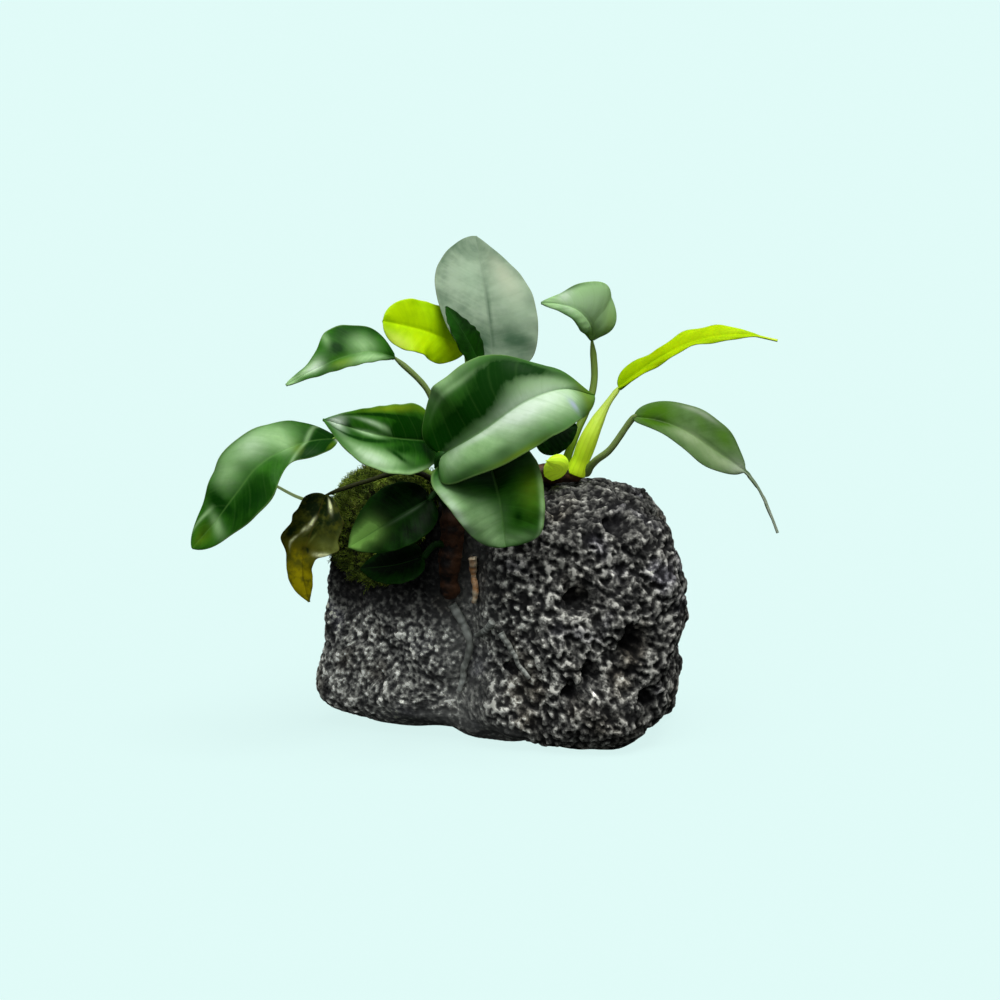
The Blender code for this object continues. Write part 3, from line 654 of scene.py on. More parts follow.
def leafRings(form):
    # the sheet thickened along its normals, with a groove over the midrib, a keel under it
    # and swellings between the veins; each ring runs over the top and back underneath
    rows, columns = form["cells"]
    even = np.linspace(0, 1, rows)
    share = 0.6 * even + 0.4 * (1 - np.cos(math.pi * even)) / 2
    even = np.linspace(-1, 1, columns)
    place = 0.7 * even + 0.3 * np.sin(even * math.pi / 2)
    sheet = leafSheet(form, share, place)
    normal = unit(np.cross(np.gradient(sheet, axis=1), np.gradient(sheet, axis=0)))
    out = np.abs(place)
    away = out * halfWidth(share, form)[:, None]
    thick = blade["margin"] + (1 - blade["margin"]) * np.sqrt(1 - out**4)
    thick = form["thick"] / 2 * thick
    groove = np.exp(-(away / blade["grooveReach"]) ** 2) * (1 - 0.6 * share[:, None])
    swell = form["quilt"] * (1 - np.cos(2 * math.pi * veinPhase(form, share, place)))
    swell = swell * ease(away, 0.4, 2.5) * ease(out, 1, 0.7) - form["quilt"]
    top = sheet + normal * (thick + swell - blade["groove"] * groove)[..., None]
    reach = blade["keelReach"] + blade["keelMore"] * (1 - share[:, None])
    keel = np.exp(-(away / reach) ** 2) * (1.1 - share[:, None])
    under = sheet - normal * (thick - swell * 0.6 + blade["keel"] * keel)[..., None]
    rings = np.concatenate([top, under[:, ::-1]], axis=1)
    zeros = np.zeros(rings.shape[:2])
    marks = dict(along=share[:, None] + zeros,
                 across=np.concatenate([place, place[::-1]]) + zeros,
                 under=np.repeat((0.0, 1.0), columns) + zeros)
    # the patch marks, among them painted sheen, highlight and shade
    for name in patches:
        total = zeros
        for patch in form.get(name, ()):
            atShare, atPlace, alongReach, acrossReach, amount, *slant = patch
            away = marks["across"] - atPlace
            leant = marks["along"] - sum(slant) * away
            total = total + amount * (hump(leant, atShare, alongReach)
                                      * hump(away, 0, acrossReach))
        marks[name] = np.clip(total, 0, 2)
    return rings, marks


finishBasics = dict(rough=0.45, glow=0.04, mottle=0.1)
# In each finish pale and shine are painted sheen and highlight, dark serves both the random
# blotches and the painted shade, and under is the paler underside, lightened further as painted
# light
leafFinishes = dict(
    green=dict(
        face=(0.030, 0.150, 0.008), dark=(0.0025, 0.034, 0.0005), pale=(0.30, 0.51, 0.225),
        shine=(0.59, 0.72, 0.58), spot=(0.36, 0.42, 0.56), warm=(0.17, 0.28, 0.006),
        under=(0.11, 0.21, 0.035), rim=(0.20, 0.34, 0.10), vein=(0.10, 0.24, 0.05)),
    dull=dict(
        face=(0.10, 0.19, 0.058), dark=(0.03, 0.08, 0.010), pale=(0.24, 0.33, 0.165),
        shine=(0.42, 0.48, 0.38), spot=(0.02, 0.05, 0.01), warm=(0.055, 0.15, 0.005),
        under=(0.12, 0.19, 0.06), rim=(0.16, 0.22, 0.11), vein=(0.16, 0.25, 0.09), rough=0.5,
        mottle=0.2, slot="leaf_green"),
    # the top leaf's grey-green: a green leaf under a painted grey sheen, the reflection of the
    # bright light above it
    greyGreen=dict(
        face=(0.29, 0.38, 0.27), dark=(0.06, 0.12, 0.065), pale=(0.38, 0.52, 0.36),
        warm=(0.48, 0.50, 0.37), under=(0.2, 0.28, 0.16), rim=(0.28, 0.36, 0.24),
        vein=(0.19, 0.26, 0.18), rough=0.5),
    # a shaded copy of the green for leaves that lie in shade: its colours are painted shade, and
    # its pale and shine are painted highlights
    deepGreen=dict(
        face=(0.008, 0.060, 0.002), dark=(0.0006, 0.006, 0.0004), pale=(0.30, 0.62, 0.12),
        shine=(0.22, 0.34, 0.19), under=(0.006, 0.03, 0.003), rim=(0.02, 0.06, 0.01),
        vein=(0.03, 0.10, 0.02), glow=0.03, mottle=0.25),
    lime=dict(
        face=(0.52, 0.80, 0.0), dark=(0.26, 0.50, 0.0), pale=(0.66, 0.86, 0.10),
        warm=(0.38, 0.46, 0.0), under=(0.38, 0.54, 0.0), rim=(0.50, 0.68, 0.03),
        vein=(0.44, 0.68, 0.0), rough=0.5, glow=0.15),
    old=dict(
        face=(0.085, 0.095, 0.008), dark=(0.006, 0.016, 0.002), pale=(0.20, 0.24, 0.05),
        spot=(0.86, 0.92, 0.50), warm=(0.46, 0.39, 0.004), under=(0.07, 0.055, 0.006),
        rim=(0.11, 0.10, 0.015), vein=(0.10, 0.075, 0.012), rough=0.55, mottle=0.8))


@functools.cache
def leafMaterial(finish, veins):
    # blotches of the face and dark colours, patches streaked along the side veins (painted sheen,
    # highlight and shade among them), the veins themselves, the midrib and the rim
    tone = finishBasics | leafFinishes[finish]
    material, shader, place = newMaterial(f"{finish}Leaf{veins}", {
        "Subsurface Weight": tone["glow"], "Subsurface Radius": (0.5, 1.0, 0.2),
        "Subsurface Scale": 0.0012, "Specular IOR Level": 0.04})
    along, across, under = (place.mark(name) for name in ("along", "across", "under"))
    out = abs(across)
    blotch = place.noise(110, 4)
    grain = place.noise(900, 2)
    specks = place.noise(330, 3, 0.6)
    phase = (along - blade["veinSweep"] * out ** blade["veinBend"]) * veins
    phase = phase + 0.5 * across.math("GREATER_THAN", 0.0)
    streak = phase.node("CombineXYZ", dict(X=phase * 2.6, Y=across * 1.1, Z=along)).noise(1.6, 3)
    phase = phase + 0.12 * (blotch - 0.5)
    line = abs(phase.math("FRACT") - 0.5) * 2
    vein = line.ease(0.80, 1.0) * (1 - out.ease(0.75, 0.95)) * 0.06
    fineVein = abs((phase * 4).math("FRACT") - 0.5) * 2
    vein = vein + fineVein.ease(0.6, 1.0) * 0.02
    rib = 1 - out.ease(0.01, 0.05)
    rim = out.ease(0.94, 0.995)
    mottle = tone["mottle"]
    uneven = 0.9 + 0.2 * streak.ease(0.3, 0.7)
    uneven = uneven * (1 - mottle + 1.6 * mottle * specks.ease(0.3, 0.7))
    shallow = blotch * 0.8 + streak * 0.2 + (specks - 0.5) * (mottle * 0.8)
    colour = (shallow.ease(0.36, 0.66) * 0.65 + grain * 0.1).colour(tone["face"], tone["dark"])
    for patch in patches:
        if patch in tone:
            colour = (place.mark(patch) * uneven).colour(colour, tone[patch])
    colour = vein.colour(colour, tone["vein"])
    colour = (rib * 0.35).colour(colour, tone["vein"])
    # the paler underside is the leaf's own colour, made lighter still as painted light where
    # little light reaches
    colour = (under * 0.75).colour(colour, tone["under"])
    colour = (rim * 0.45).colour(colour, tone["rim"])
    rough = tone["rough"] + 0.2 * grain + 0.12 * vein + 0.15 * under - 0.1
    height = grain * 0.25 + blotch * 0.3 - vein * 1.2
    feed(shader, colour, height, 0.10, 0.6, rough)
    return material


def makeLeaf(name, form):
    form = leafBasics | form
    rings, marks = leafRings(form)
    finish = form["finish"]
    slot = leafFinishes[finish].get("slot", nodeName("leaf", finish))
    dress(closedTube(name + "Leaf", rings, marks), leafMaterial(finish, form["veins"]),
          nodeName("leaf", name))


topLeaf = dict(
    rib=((-2, 6, 111), (-4, 15, 128.5), (-7.5, 32, 145.5)), face=(0.1, -1, 0.3), width=29, fold=8,
    curl=-10, belly=0.45, taper=0.62, skew=-0.3, left=(1, 1, 1.03, 1.06, 1.02, 0.9),
    right=(1.2, 1.05, 1, 0.97, 0.85, 0.62), cells=(96, 64), finish="greyGreen", veins=8,
    pale=((0.6, -0.3, 0.2, 0.25, 0.4), (0.5, 0.6, 0.25, 0.4, 0.7)),
    warm=((0.65, 0.55, 0.2, 0.3, 0.5),),
    dark=((0.2, 0.55, 0.08, 0.4, 1.1), (0.13, -0.35, 0.08, 0.5, 1), (0.36, 0.02, 0.2, 0.035, 0.9),
          (0.9, 0, 0.1, 2, 0.35), (0.8, -0.98, 0.2, 0.08, 0.5)))
# a leaf between the top and lime leaves, darkened all over as painted shade
shadedLeaf = dict(
    rib=((-6, 2, 111.5), (-10.5, 0, 120), (-16, 4, 128)), face=(0.75, -0.6, 0.4), width=16,
    fold=8, curl=-10, left=0.7, right=0.75, cells=(60, 36), finish="deepGreen",
    dark=((0.7, 0.6, 0.3, 0.5, 0.8),))
limeLeftLeaf = dict(
    rib=((-10, 15, 113.5), (-22.5, 11, 119.5), (-35, 6, 123.3)), face=(0.1, -0.9, 0.5), width=18,
    belly=0.6, taper=0.45, wave=1, lobe=0.05, left=(1.1, 1.15, 0.9, 0.95, 1),
    right=(1.3, 1.2, 1.05, 1, 0.95), cells=(70, 48), finish="lime",
    pale=((0.82, -0.8, 0.14, 0.3, 0.9),),
    dark=((0.3, 0.5, 0.22, 0.6, 0.9), (0.62, 0.9, 0.2, 0.15, 0.4)))
upperLeftLeaf = dict(
    rib=((-31, -5, 114.2), (-38.2, -9, 116.4), (-46.2, -13, 115.2), (-54.8, -17, 112.1),
         (-62.2, -20, 108.4)), face=(0, -0.7, 0.7), width=16, taper=0.5, lobe=0,
    left=(0.4, 0.5, 0.6, 0.55, 0.5, 0.45, 0.4, 0.3, 0.3),
    right=(0.9, 1.3, 1.38, 1.4, 1.28, 0.78, 0.42, 0.3, 0.3), cells=(100, 40),
    dark=((0.49, 0.32, 0.06, 0.22, 1.3), (0.38, 0.75, 0.07, 0.25, 0.6),
          (0.2, 0.95, 0.14, 0.2, 0.9), (0.04, 0, 0.05, 2, 0.8)),
    pale=((0.28, 0.25, 0.1, 0.35, 0.75), (0.26, -0.6, 0.18, 0.4, 1), (0.53, 0.8, 0.03, 0.3, 0.5),
          (0.78, 0.2, 0.1, 0.6, 1.4), (0.97, 0, 0.07, 2, 1)), warm=((0.5, -0.5, 0.1, 0.4, 0.5),),
    shine=((0.74, 0.1, 0.07, 0.4, 0.9),))
midLeftLeaf = dict(
    rib=((-19, -17, 91), (-33.2, -30, 95), (-50.2, -42, 102.2)), face=(0, -0.75, 0.65), width=32,
    fold=20, curl=-25, foldRight=15, wave=0.8, lobe=0.1, left=(0.6, 0.75, 0.95, 1.1, 1.1),
    right=(1.1, 0.72, 0.62, 0.5, 0.4), cells=(120, 64),
    shine=((0.9, 0.2, 0.06, 0.5, 1.2), (0.62, 0.42, 0.05, 0.16, 0.35, 0.66),
           (0.66, -0.02, 0.07, 0.07, 0.3), (0.66, -0.75, 0.1, 0.16, 0.6)),
    dark=((0.79, 0.12, 0.02, 0.12, 0.5), (0.5, 0.66, 0.14, 0.16, 1.5, 1.9),
          (0.22, 0.15, 0.18, 0.6, 1.3), (0.38, 0.25, 0.07, 0.25, 1),
          (0.69, -0.3, 0.08, 0.17, 1.5, -1.4), (0.4, -0.38, 0.1, 0.12, 0.9),
          (0.44, -0.6, 0.035, 0.2, 0.9, 0.3), (0.16, -0.3, 0.1, 0.6, 0.9)),
    warm=((0.36, 0.88, 0.3, 0.13, 0.9),),
    pale=((0.55, 0.33, 0.07, 0.24, 0.9, 0.66), (0.62, -0.03, 0.12, 0.1, 0.9),
          (0.64, -0.7, 0.18, 0.22, 1.2), (0.45, -0.97, 0.3, 0.07, 0.8)))
archedLeaf = dict(
    rib=((-47.6, -14, 91.5), (-54.9, -20, 91.8), (-62.5, -24, 90), (-70.2, -27, 85.6),
         (-76, -29, 78.5), (-83, -30, 69.3), (-89.5, -30, 62)), face=(-0.3, -0.7, 0.6), width=23,
    fold=12, curl=-25, belly=0.85, taper=0.7, lobe=0.05,
    left=(1.3, 0.9, 0.55, 0.92, 0.95, 0.86, 1), right=(2.2, 1.4, 1.2, 1.14, 1.02, 0.88, 1.1),
    cells=(130, 60),
    pale=((0.4, 0.6, 0.15, 0.45, 0.8), (0.3, 0.1, 0.05, 0.6, 0.6), (0.6, 0.6, 0.08, 0.4, 0.6),
          (0.195, 0, 0.014, 2, 1.2, -0.136), (0.825, -0.25, 0.028, 0.6, 0.75, -0.035),
          (0.86, 0.66, 0.035, 0.3, 0.8, 0.34)),
    shine=((0.43, 0.55, 0.06, 0.28, 0.3), (0.015, 0, 0.02, 2, 1)),
    dark=((0.46, 1, 0.16, 0.06, 0.8), (0.52, 0.2, 0.04, 0.3, 0.35),
          (0.62, -0.55, 0.13, 0.45, 1.1), (0.735, 0.3, 0.045, 0.7, 1.2),
          (0.08, 0, 0.1, 2, 1.7, -0.136), (0.14, -0.2, 0.03, 0.5, 0.8, -0.136),
          (0.9, 0.1, 0.04, 0.4, 0.6)),
    warm=((0.25, -0.5, 0.035, 0.5, 0.5), (0.1, -0.7, 0.06, 0.25, 0.7),
          (0.92, 0, 0.06, 0.5, 0.45)))
lowLeftLeaf = dict(
    rib=((-20.5, -26, 76), (-31, -30, 70.5), (-44, -31, 62.5)), face=(0, -0.8, 0.6), width=20,
    cells=(80, 44), finish="deepGreen",
    pale=((0.74, 0.05, 0.14, 0.42, 1.7), (0.92, 0, 0.09, 0.7, 1.6)),
    shine=((0.25, -0.08, 0.25, 0.06, 0.45),),
    dark=((0.25, 0.6, 0.3, 0.5, 1), (0.35, -0.6, 0.3, 0.4, 1), (0.02, 0, 0.1, 2, 0.8)))
# a leaf under the low left leaf, darkened all over as painted shade
lowShadeLeaf = dict(
    rib=((-22.5, -24, 58), (-31, -24, 55.5), (-41, -22, 54)), face=(0, -0.7, 0.7), width=14,
    cells=(60, 36), finish="deepGreen",
    dark=((0.5, 0.1, 0.9, 0.9, 1.3),))
frontLeaf = dict(
    rib=((-17, -32.5, 90), (-5.5, -38, 97.8), (7, -38, 106.5), (18, -33.5, 109.5),
         (27.2, -27, 106.5)), face=((0, -0.77, 0.64), (0, -0.8, 0.6), (0.1, -0.88, 0.5)),
    width=41, fold=28, curl=-45, curlLeft=-10, belly=0.45, taper=0.68, lobe=0.6, skew=0.2,
    left=(0.95, 1.08, 1.05, 1, 0.55, 0.2), right=(0.9, 0.68, 0.7, 0.75, 0.75, 0.9),
    cells=(140, 88),
    pale=((0.3, 0.35, 0.4, 0.48, 0.9), (0.75, 0.1, 0.16, 0.7, 0.9),
          (0.66, -0.25, 0.13, 0.22, 0.7), (0.05, -0.42, 0.05, 0.04, 0.6),
          (0.36, -0.98, 0.16, 0.2, 0.9), (0.42, -0.75, 0.2, 0.05, 0.7)),
    shine=((0.5, 0.2, 0.13, 0.3, 1.1), (0.27, 0.12, 0.13, 0.12, 0.7), (0.7, 0.15, 0.12, 0.4, 0.7),
           (0.11, 0.28, 0.06, 0.3, 0.25)), spot=((0.76, 0.58, 0.022, 0.2, 0.9),),
    warm=((0.93, 0, 0.06, 2, 0.6), (0.38, 0.95, 0.12, 0.07, 0.7)),
    dark=((0.33, 0.75, 0.05, 0.14, 0.5), (0.5, 0.95, 0.1, 0.12, 0.3),
          (0.22, 0.85, 0.05, 0.14, 0.5), (0.45, 0.72, 0.03, 0.08, 0.25),
          (0.62, -0.6, 0.18, 0.25, 1.6), (0.37, -0.32, 0.14, 0.19, 1.5),
          (0.17, -0.3, 0.1, 0.22, 1.3), (0.02, -0.5, 0.09, 0.5, 1.2),
          (0.15, 0.93, 0.05, 0.15, 0.5)))
# a leaf guessed behind the front leaf's right end where the place is dark; all of it is painted
# shade
behindLeaf = dict(
    rib=((10.5, -1, 88.5), (16.5, -2, 91), (23, -2.5, 93)), face=(0, -0.9, 0.4), width=13, fold=8,
    curl=-15, taper=0.7, cells=(50, 32), finish="deepGreen",
    dark=((0.5, 0, 0.8, 2, 1.2),))
hangingLeaf = dict(
    rib=((-2.5, -31, 86.5), (0, -41, 78), (1.7, -43, 65.4)), face=(0.15, -0.95, 0.2), width=46,
    fold=12, curl=-25, foldLeft=25, belly=0.32, taper=0.42, lobe=0.4,
    left=(0.6, 0.6, 0.6, 0.6, 0.66, 0.85), right=(0.9, 0.88, 0.8, 0.68, 0.6, 0.56, 0.55),
    cells=(100, 80),
    dark=((0.68, -0.4, 0.07, 0.12, 1), (0.3, -0.05, 0.13, 0.5, 1), (0.05, 0, 0.16, 2, 1.3)),
    warm=((0.48, -0.75, 0.16, 0.3, 0.35),),
    pale=((0.72, 0.45, 0.22, 0.4, 0.85), (0.5, 0.85, 0.2, 0.2, 0.7), (0.7, -0.95, 0.3, 0.06, 0.9),
          (0.92, 0, 0.08, 1, 0.6)), shine=((0.55, 0.92, 0.2, 0.12, 0.5),))
smallRightLeaf = dict(
    rib=((27.8, 15, 115.9), (27, 9.5, 121.6), (23.2, 5.5, 126.5), (17.8, 3, 128.7),
         (12.2, 2, 129.3)), face=(0, -0.8, 0.6), width=16, taper=0.5, lobe=0, ruffle=0.1,
    left=(0.25, 0.4, 0.6, 0.55, 0.4, 0.3), right=(0.7, 1.35, 1.65, 1.1, 0.55, 0.3),
    cells=(90, 44),
    pale=((0.4, 0.2, 0.45, 0.9, 1.8), (0.9, 0, 0.1, 2, 0.8)),
    shine=((0.45, 0.3, 0.22, 0.45, 0.2), (0.75, 0.6, 0.08, 0.35, 0.7),
           (0.72, -0.3, 0.12, 0.5, 0.25)),
    dark=((0.66, 0.97, 0.1, 0.12, 0.8), (0.6, -1, 0.3, 0.12, 0.6)),
    warm=((0.17, 0.7, 0.12, 0.3, 0.5),))
limeRightLeaf = dict(
    rib=((35.5, 8, 102.7), (42, 5, 108.4), (48.5, 2, 113.4), (56.5, 0, 117.6), (65, -2, 120),
         (74, -3, 120.5), (82, -4, 119)), face=(0, -0.5, 0.86), width=11, fold=20, curl=-30,
    taper=0.5, tail=0.1, left=(2.4, 1.35, 0.6, 1.1, 0.95, 0.45, 0.3),
    right=(0.6, 0.6, 0.55, 0.5, 0.5, 0.5, 0.4), wave=0.7, waves=2.5, cells=(110, 32),
    finish="lime",
    dark=((0.28, 0.1, 0.12, 0.4, 0.5), (0.03, 0, 0.07, 2, 0.6), (0.6, 0.5, 0.2, 0.4, 0.3)),
    warm=((0.5, 0, 0.6, 2, 0.4),), pale=((0.97, 0, 0.05, 2, 0.8),))
tailedLeaf = dict(
    rib=((39.7, -5, 96.2), (46.7, -9, 95.8), (54.4, -13, 93.5), (62.3, -15, 88.5), (73, -16, 81),
         (78, -16, 73.2), (82, -16, 63.5)), face=(0.2, -0.8, 0.6), width=18, fold=18, curl=-25,
    taper=0.6, tail=0.36, left=(0.85, 0.88, 0.95, 1.05, 0.8, 1, 1), right=(0.35, 0.5, 0.85, 1, 1),
    cells=(130, 40), finish="dull",
    warm=((0.12, 0, 0.09, 0.9, 1.6), (0.34, -0.5, 0.03, 0.3, 0.5, 0.1),
          (0.47, -0.6, 0.06, 0.3, 0.8)), spot=((0.14, 0.02, 0.05, 0.25, 0.9),),
    pale=((0.3, 0.4, 0.1, 0.3, 0.7), (0.35, 0.1, 0.1, 0.25, 0.6), (0.52, 0.4, 0.1, 0.4, 0.8)),
    shine=((0.3, -0.85, 0.1, 0.1, 0.5), (0.62, 0.2, 0.06, 0.7, 0.4), (0.9, 0, 0.2, 2, 0.9)),
    dark=((0.42, -0.15, 0.1, 0.06, 0.5), (0.57, -0.95, 0.1, 0.12, 0.7)))
oldLeaf = dict(
    rib=((-51.4, -14, 74.5), (-54.8, -18, 66.3), (-58, -20, 57.4), (-57.8, -21, 50.4),
         (-56.3, -21, 43.7)), face=(-0.3, -0.9, 0.2), width=17, fold=14, curl=-30, belly=0.6,
    wave=1.2, left=(1, 1.1, 1.1, 1.13, 1.15, 1.1, 0.58, 0.48, 0.49, 0.5, 0.5),
    right=(1.4, 1.3, 1, 0.9, 0.9, 1.05, 0.76, 0.7, 0.75, 0.8, 0.8), ragged=0.12, raggedness=14,
    cells=(110, 56), finish="old",
    dark=((0.13, 0, 0.24, 2, 1.1), (0.53, -0.1, 0.04, 0.3, 0.8), (0.42, 0.75, 0.06, 0.2, 0.8)),
    spot=((0.1, -0.52, 0.045, 0.08, 1.6, -0.2), (0.29, 0.12, 0.04, 0.09, 1.6, 0.4),
          (0.36, 0.3, 0.025, 0.07, 0.9, 0.3), (0.48, 0.5, 0.025, 0.1, 0.8, 0.5),
          (0.53, -0.88, 0.025, 0.3, 2)),
    pale=((0.24, -0.3, 0.05, 0.06, 0.8, -0.6), (0.4, -0.15, 0.03, 0.08, 0.7, 0.6),
          (0.36, -0.98, 0.12, 0.12, 1.2), (0.28, -0.1, 0.02, 0.3, 0.6, 0.4),
          (0.2, 0.4, 0.02, 0.2, 0.5, 0.4), (0.45, -0.6, 0.1, 0.3, 0.7)),
    warm=((0.6, 0.1, 0.1, 0.6, 0.6), (0.88, 0, 0.17, 2, 1.4)))

leaves = dict(
    top=topLeaf, shaded=shadedLeaf, limeLeft=limeLeftLeaf, upperLeft=upperLeftLeaf,
    midLeft=midLeftLeaf, archedLeft=archedLeaf, lowLeft=lowLeftLeaf, lowShade=lowShadeLeaf,
    front=frontLeaf, behind=behindLeaf, hangingFront=hangingLeaf, smallRight=smallRightLeaf,
    limeRight=limeRightLeaf, tailedRight=tailedLeaf, old=oldLeaf)


for name, form in leaves.items():
    makeLeaf(name, form)
print("leaves made")

# stems

stems = dict(  # share of the rhizome's length, radii from foot to leaf, points passed, finish
    top=(0.72, (1.6, 1.3, 1.2), ((1.5, 1, 97),), "green"),
    shaded=(0.64, (1.2, 0.9, 0.8), ((-5.5, -3, 98),), "dark"),
    limeLeft=(0.57, (1.3, 1.0, 0.9), ((-9, 1, 98),), "green"),
    upperLeft=(0.52, (1.2, 0.9, 0.9), ((-18, -8, 96), (-22, -7, 105.5)), "sage"),
    old=(0.445, (0.8, 0.7, 0.6), ((-26, -13.5, 81.5), (-40, -14.5, 78.5)), "brown"),
    midLeft=(0.42, (1.2, 1.0), ((-19, -16.5, 86),), "dark"),
    archedLeft=(0.47, (1.2, 1.0, 1.0), ((-30, -8, 84), (-41, -9, 85)), "green"),
    lowLeft=(0.35, (1.1, 0.9), ((-18, -22.5, 76.5),), "dark"),
    lowShade=(0.24, (1.1, 0.9), ((-19, -23, 61.5),), "dark"),
    front=(0.39, (2.0, 1.7), ((-17, -28, 85),), "dark"),
    behind=(0.73, (1.0, 0.8), ((7.5, -1.5, 86.5),), "dark"),
    hangingFront=(0.53, (1.5, 1.2), ((-6, -21, 88.5),), "dark"),
    smallRight=(0.915, (1.3, 1.1, 1.0), ((22.5, 3, 89), (26.5, 9, 97), (28.5, 13, 105)), "olive"),
    limeRight=(0.965, (2.2, 2.8, 2.1, 1.0, 0.9), ((27, -1, 90), (31.5, 4, 97.5)), "lime"),
    tailedRight=(1.0, (1.2, 1.0, 0.9), ((28.5, -5, 83), (33, -6, 87)), "sage"))
shoot = (0.87, (1.8, 3.1, 3.1, 2.2, 0.6), ((17.5, -9, 83), (13.5, -12.5, 84.5)))
stemFinishes = dict(  # colours at the foot and the leaf, strength of the streaks and glow, a painted light
    green=((0.14, 0.26, 0.03), (0.20, 0.36, 0.06), 0.3, 0.1),
    pale=((0.38, 0.50, 0.17), (0.36, 0.48, 0.21), 0.15, 0.35),
    sage=((0.19, 0.27, 0.08), (0.15, 0.22, 0.06), 0.2, 0.08),
    olive=((0.11, 0.20, 0.004), (0.17, 0.26, 0.05), 0.2, 0.12),
    # a shaded copy of the stem colours, painted shade for stems that stand in shade
    dark=((0.006, 0.030, 0.003), (0.012, 0.070, 0.006), 0.3, 0),
    brown=((0.020, 0.024, 0.006), (0.035, 0.04, 0.01), 0.4, 0),
    lime=((0.62, 0.90, 0.02), (0.36, 0.48, 0.08), 0.16, 0.2),
    # the bud's brighter colours and glow are painted light for a bud in shade
    bud=((0.45, 0.72, 0.02), (0.58, 0.88, 0.03), 0.2, 0.28))


stem = dict(rows=84, sides=20, swell=0.45, clasp=0.16, thinning=0.75, thinFrom=0.86,
            lines=12,  # fine lines round it, and half as many ridges
            lump=2.5, lumps=0.08, ridge=0.05,
            sink=0.5)  # how far its end lies under the blade


def stemMaterial(name, foot, tip, streaks, glow):
    # foot and tip colours with darker lines along the stem, which also glow a little; the glow is
    # painted light
    material, shader, place = newMaterial(name + "Stem", {
        "Subsurface Weight": 0.1, "Subsurface Radius": (0.5, 1.0, 0.2), "Subsurface Scale": 0.001,
        "Specular IOR Level": 0.15, "Emission Strength": glow})
    along, turn = place.mark("along"), place.mark("turn")
    fibre = place.noise(500, 3)
    colour = along.ease(0.05, 0.8).colour(foot, tip)
    line = (turn * (stem["lines"] * 2 * math.pi) + fibre * 2).math("SINE")
    shade = tuple(0.45 * value for value in foot)
    colour = (line.ease(0.2, 1.0) * streaks + fibre * 0.2).colour(colour, shade)
    feed(shader, colour, line * 0.3 + fibre, 0.1, 0.6, 0.4 + 0.2 * fibre)
    shader.id_data.links.new(colour.socket, shader.inputs["Emission Color"])
    return material


stemMaterials = {name: stemMaterial(name, *finish) for name, finish in stemFinishes.items()}


def makeStem(name, node, radii, knots, material):
    # a rod that swells where it clasps the rhizome and thins out into its leaf's midrib
    share = np.linspace(0, 1, stem["rows"])
    size = throughKnots(radii, share) * (1 + stem["swell"] * ease(share, stem["clasp"], 0.0))
    size = size * (1 - stem["thinning"] * ease(share, stem["thinFrom"], 1))
    ridges = np.cos(np.arange(stem["sides"]) / stem["sides"] * stem["lines"] * math.pi)

    def raised(rings):
        lumps = stem["lumps"] * clouds(rings, stem["lump"], 41) + stem["ridge"] * ridges
        return lumps * size[:, None] / size.max()

    addRod(name, walked(knots, share), size, stem["sides"], material, node, raised)


def seatOn(share):
    return throughKnots(rhizomeAxis, np.array([share]))[0]


for name, (seat, radii, passed, finish) in stems.items():
    form = leaves[name]
    into = walked(form["rib"], np.array([0.0, 0.05]))
    into = into - stem["sink"] * unit(spread(form["face"], np.zeros(1), 2))
    makeStem(name + "Stem", nodeName("stem", name), radii, (seatOn(seat), *passed, *into),
             stemMaterials[finish])
seat, radii, passed = shoot
makeStem("limeShoot", "shoot_lime", radii, (seatOn(seat), *passed), stemMaterials["bud"])
print("stems made")

# roots

roots = dict(  # radius and (x, z) points seen from the front
    left=(1.35, ((-14, 42), (-11.5, 36), (-8.6, 31), (-10, 24), (-11.5, 16))),
    middle=(1.15, ((-1.5, 39), (-4, 35.5), (-6, 33.3))),
    right=(1.0, ((1, 36), (4, 31), (7, 26.5), (9.5, 23))),
    pale=(1.2, ((-7, 57), (-6.5, 52), (-6, 47), (-6.5, 43))))
aerialRoot = (0.6, ((-50.5, -10, 73), (-54.5, -11, 71.8), (-60, -12, 73.5), (-66, -14, 77.2)))
root = dict(rows=90, sides=16, lift=0.7, taper=0.4, lump=1.6, lumps=0.22)
rootSkin = barkMaterial("rootSkin", (0.52, 0.545, 0.51), (0.20, 0.21, 0.19), 60)
paleRootSkin = barkMaterial("paleRootSkin", (1.0, 0.84, 0.60), (0.62, 0.28, 0.10), 40)


def makeRoot(name, node, radius, outline, material):
    # each point of its outline is cast onto the stone from the front and then pushed away from
    # the nearest place of the stone, by its radius and the lift
    coarse = np.linspace(0, 1, 9)
    seen = walked([(x, 0, z) for x, z in outline], coarse)
    size = radius * (1 - root["taper"] * coarse)
    axis = []
    for place, reach in zip(seen, size + root["lift"]):
        hit, normal = stoneTree.ray_cast(Vector((place[0], -100, place[2])), Vector((0, 1, 0)))[:2]
        point = hit + normal * reach
        for _ in range(4):
            nearest = stoneTree.find_nearest(point)[0]
            point = nearest + (point - nearest).normalized() * reach
        axis.append(np.array(point))
    share = np.linspace(0, 1, root["rows"])
    addRod(name, throughKnots(axis, share), throughKnots(size, share), root["sides"], material,
           node, lambda rings: root["lumps"] * clouds(rings, root["lump"], 51))


for name, (radius, outline) in roots.items():
    isPale = name == "pale"
    makeRoot("root" + name.capitalize(), "root_" + name, radius, outline,
             paleRootSkin if isPale else rootSkin)
radius, points = aerialRoot
share = np.linspace(0, 1, 80)
addRod("aerialRoot", walked(points, share), radius * (1 - 0.3 * share), 12, stemMaterials["pale"],
       "aerial_root")
print("roots made")

# moss

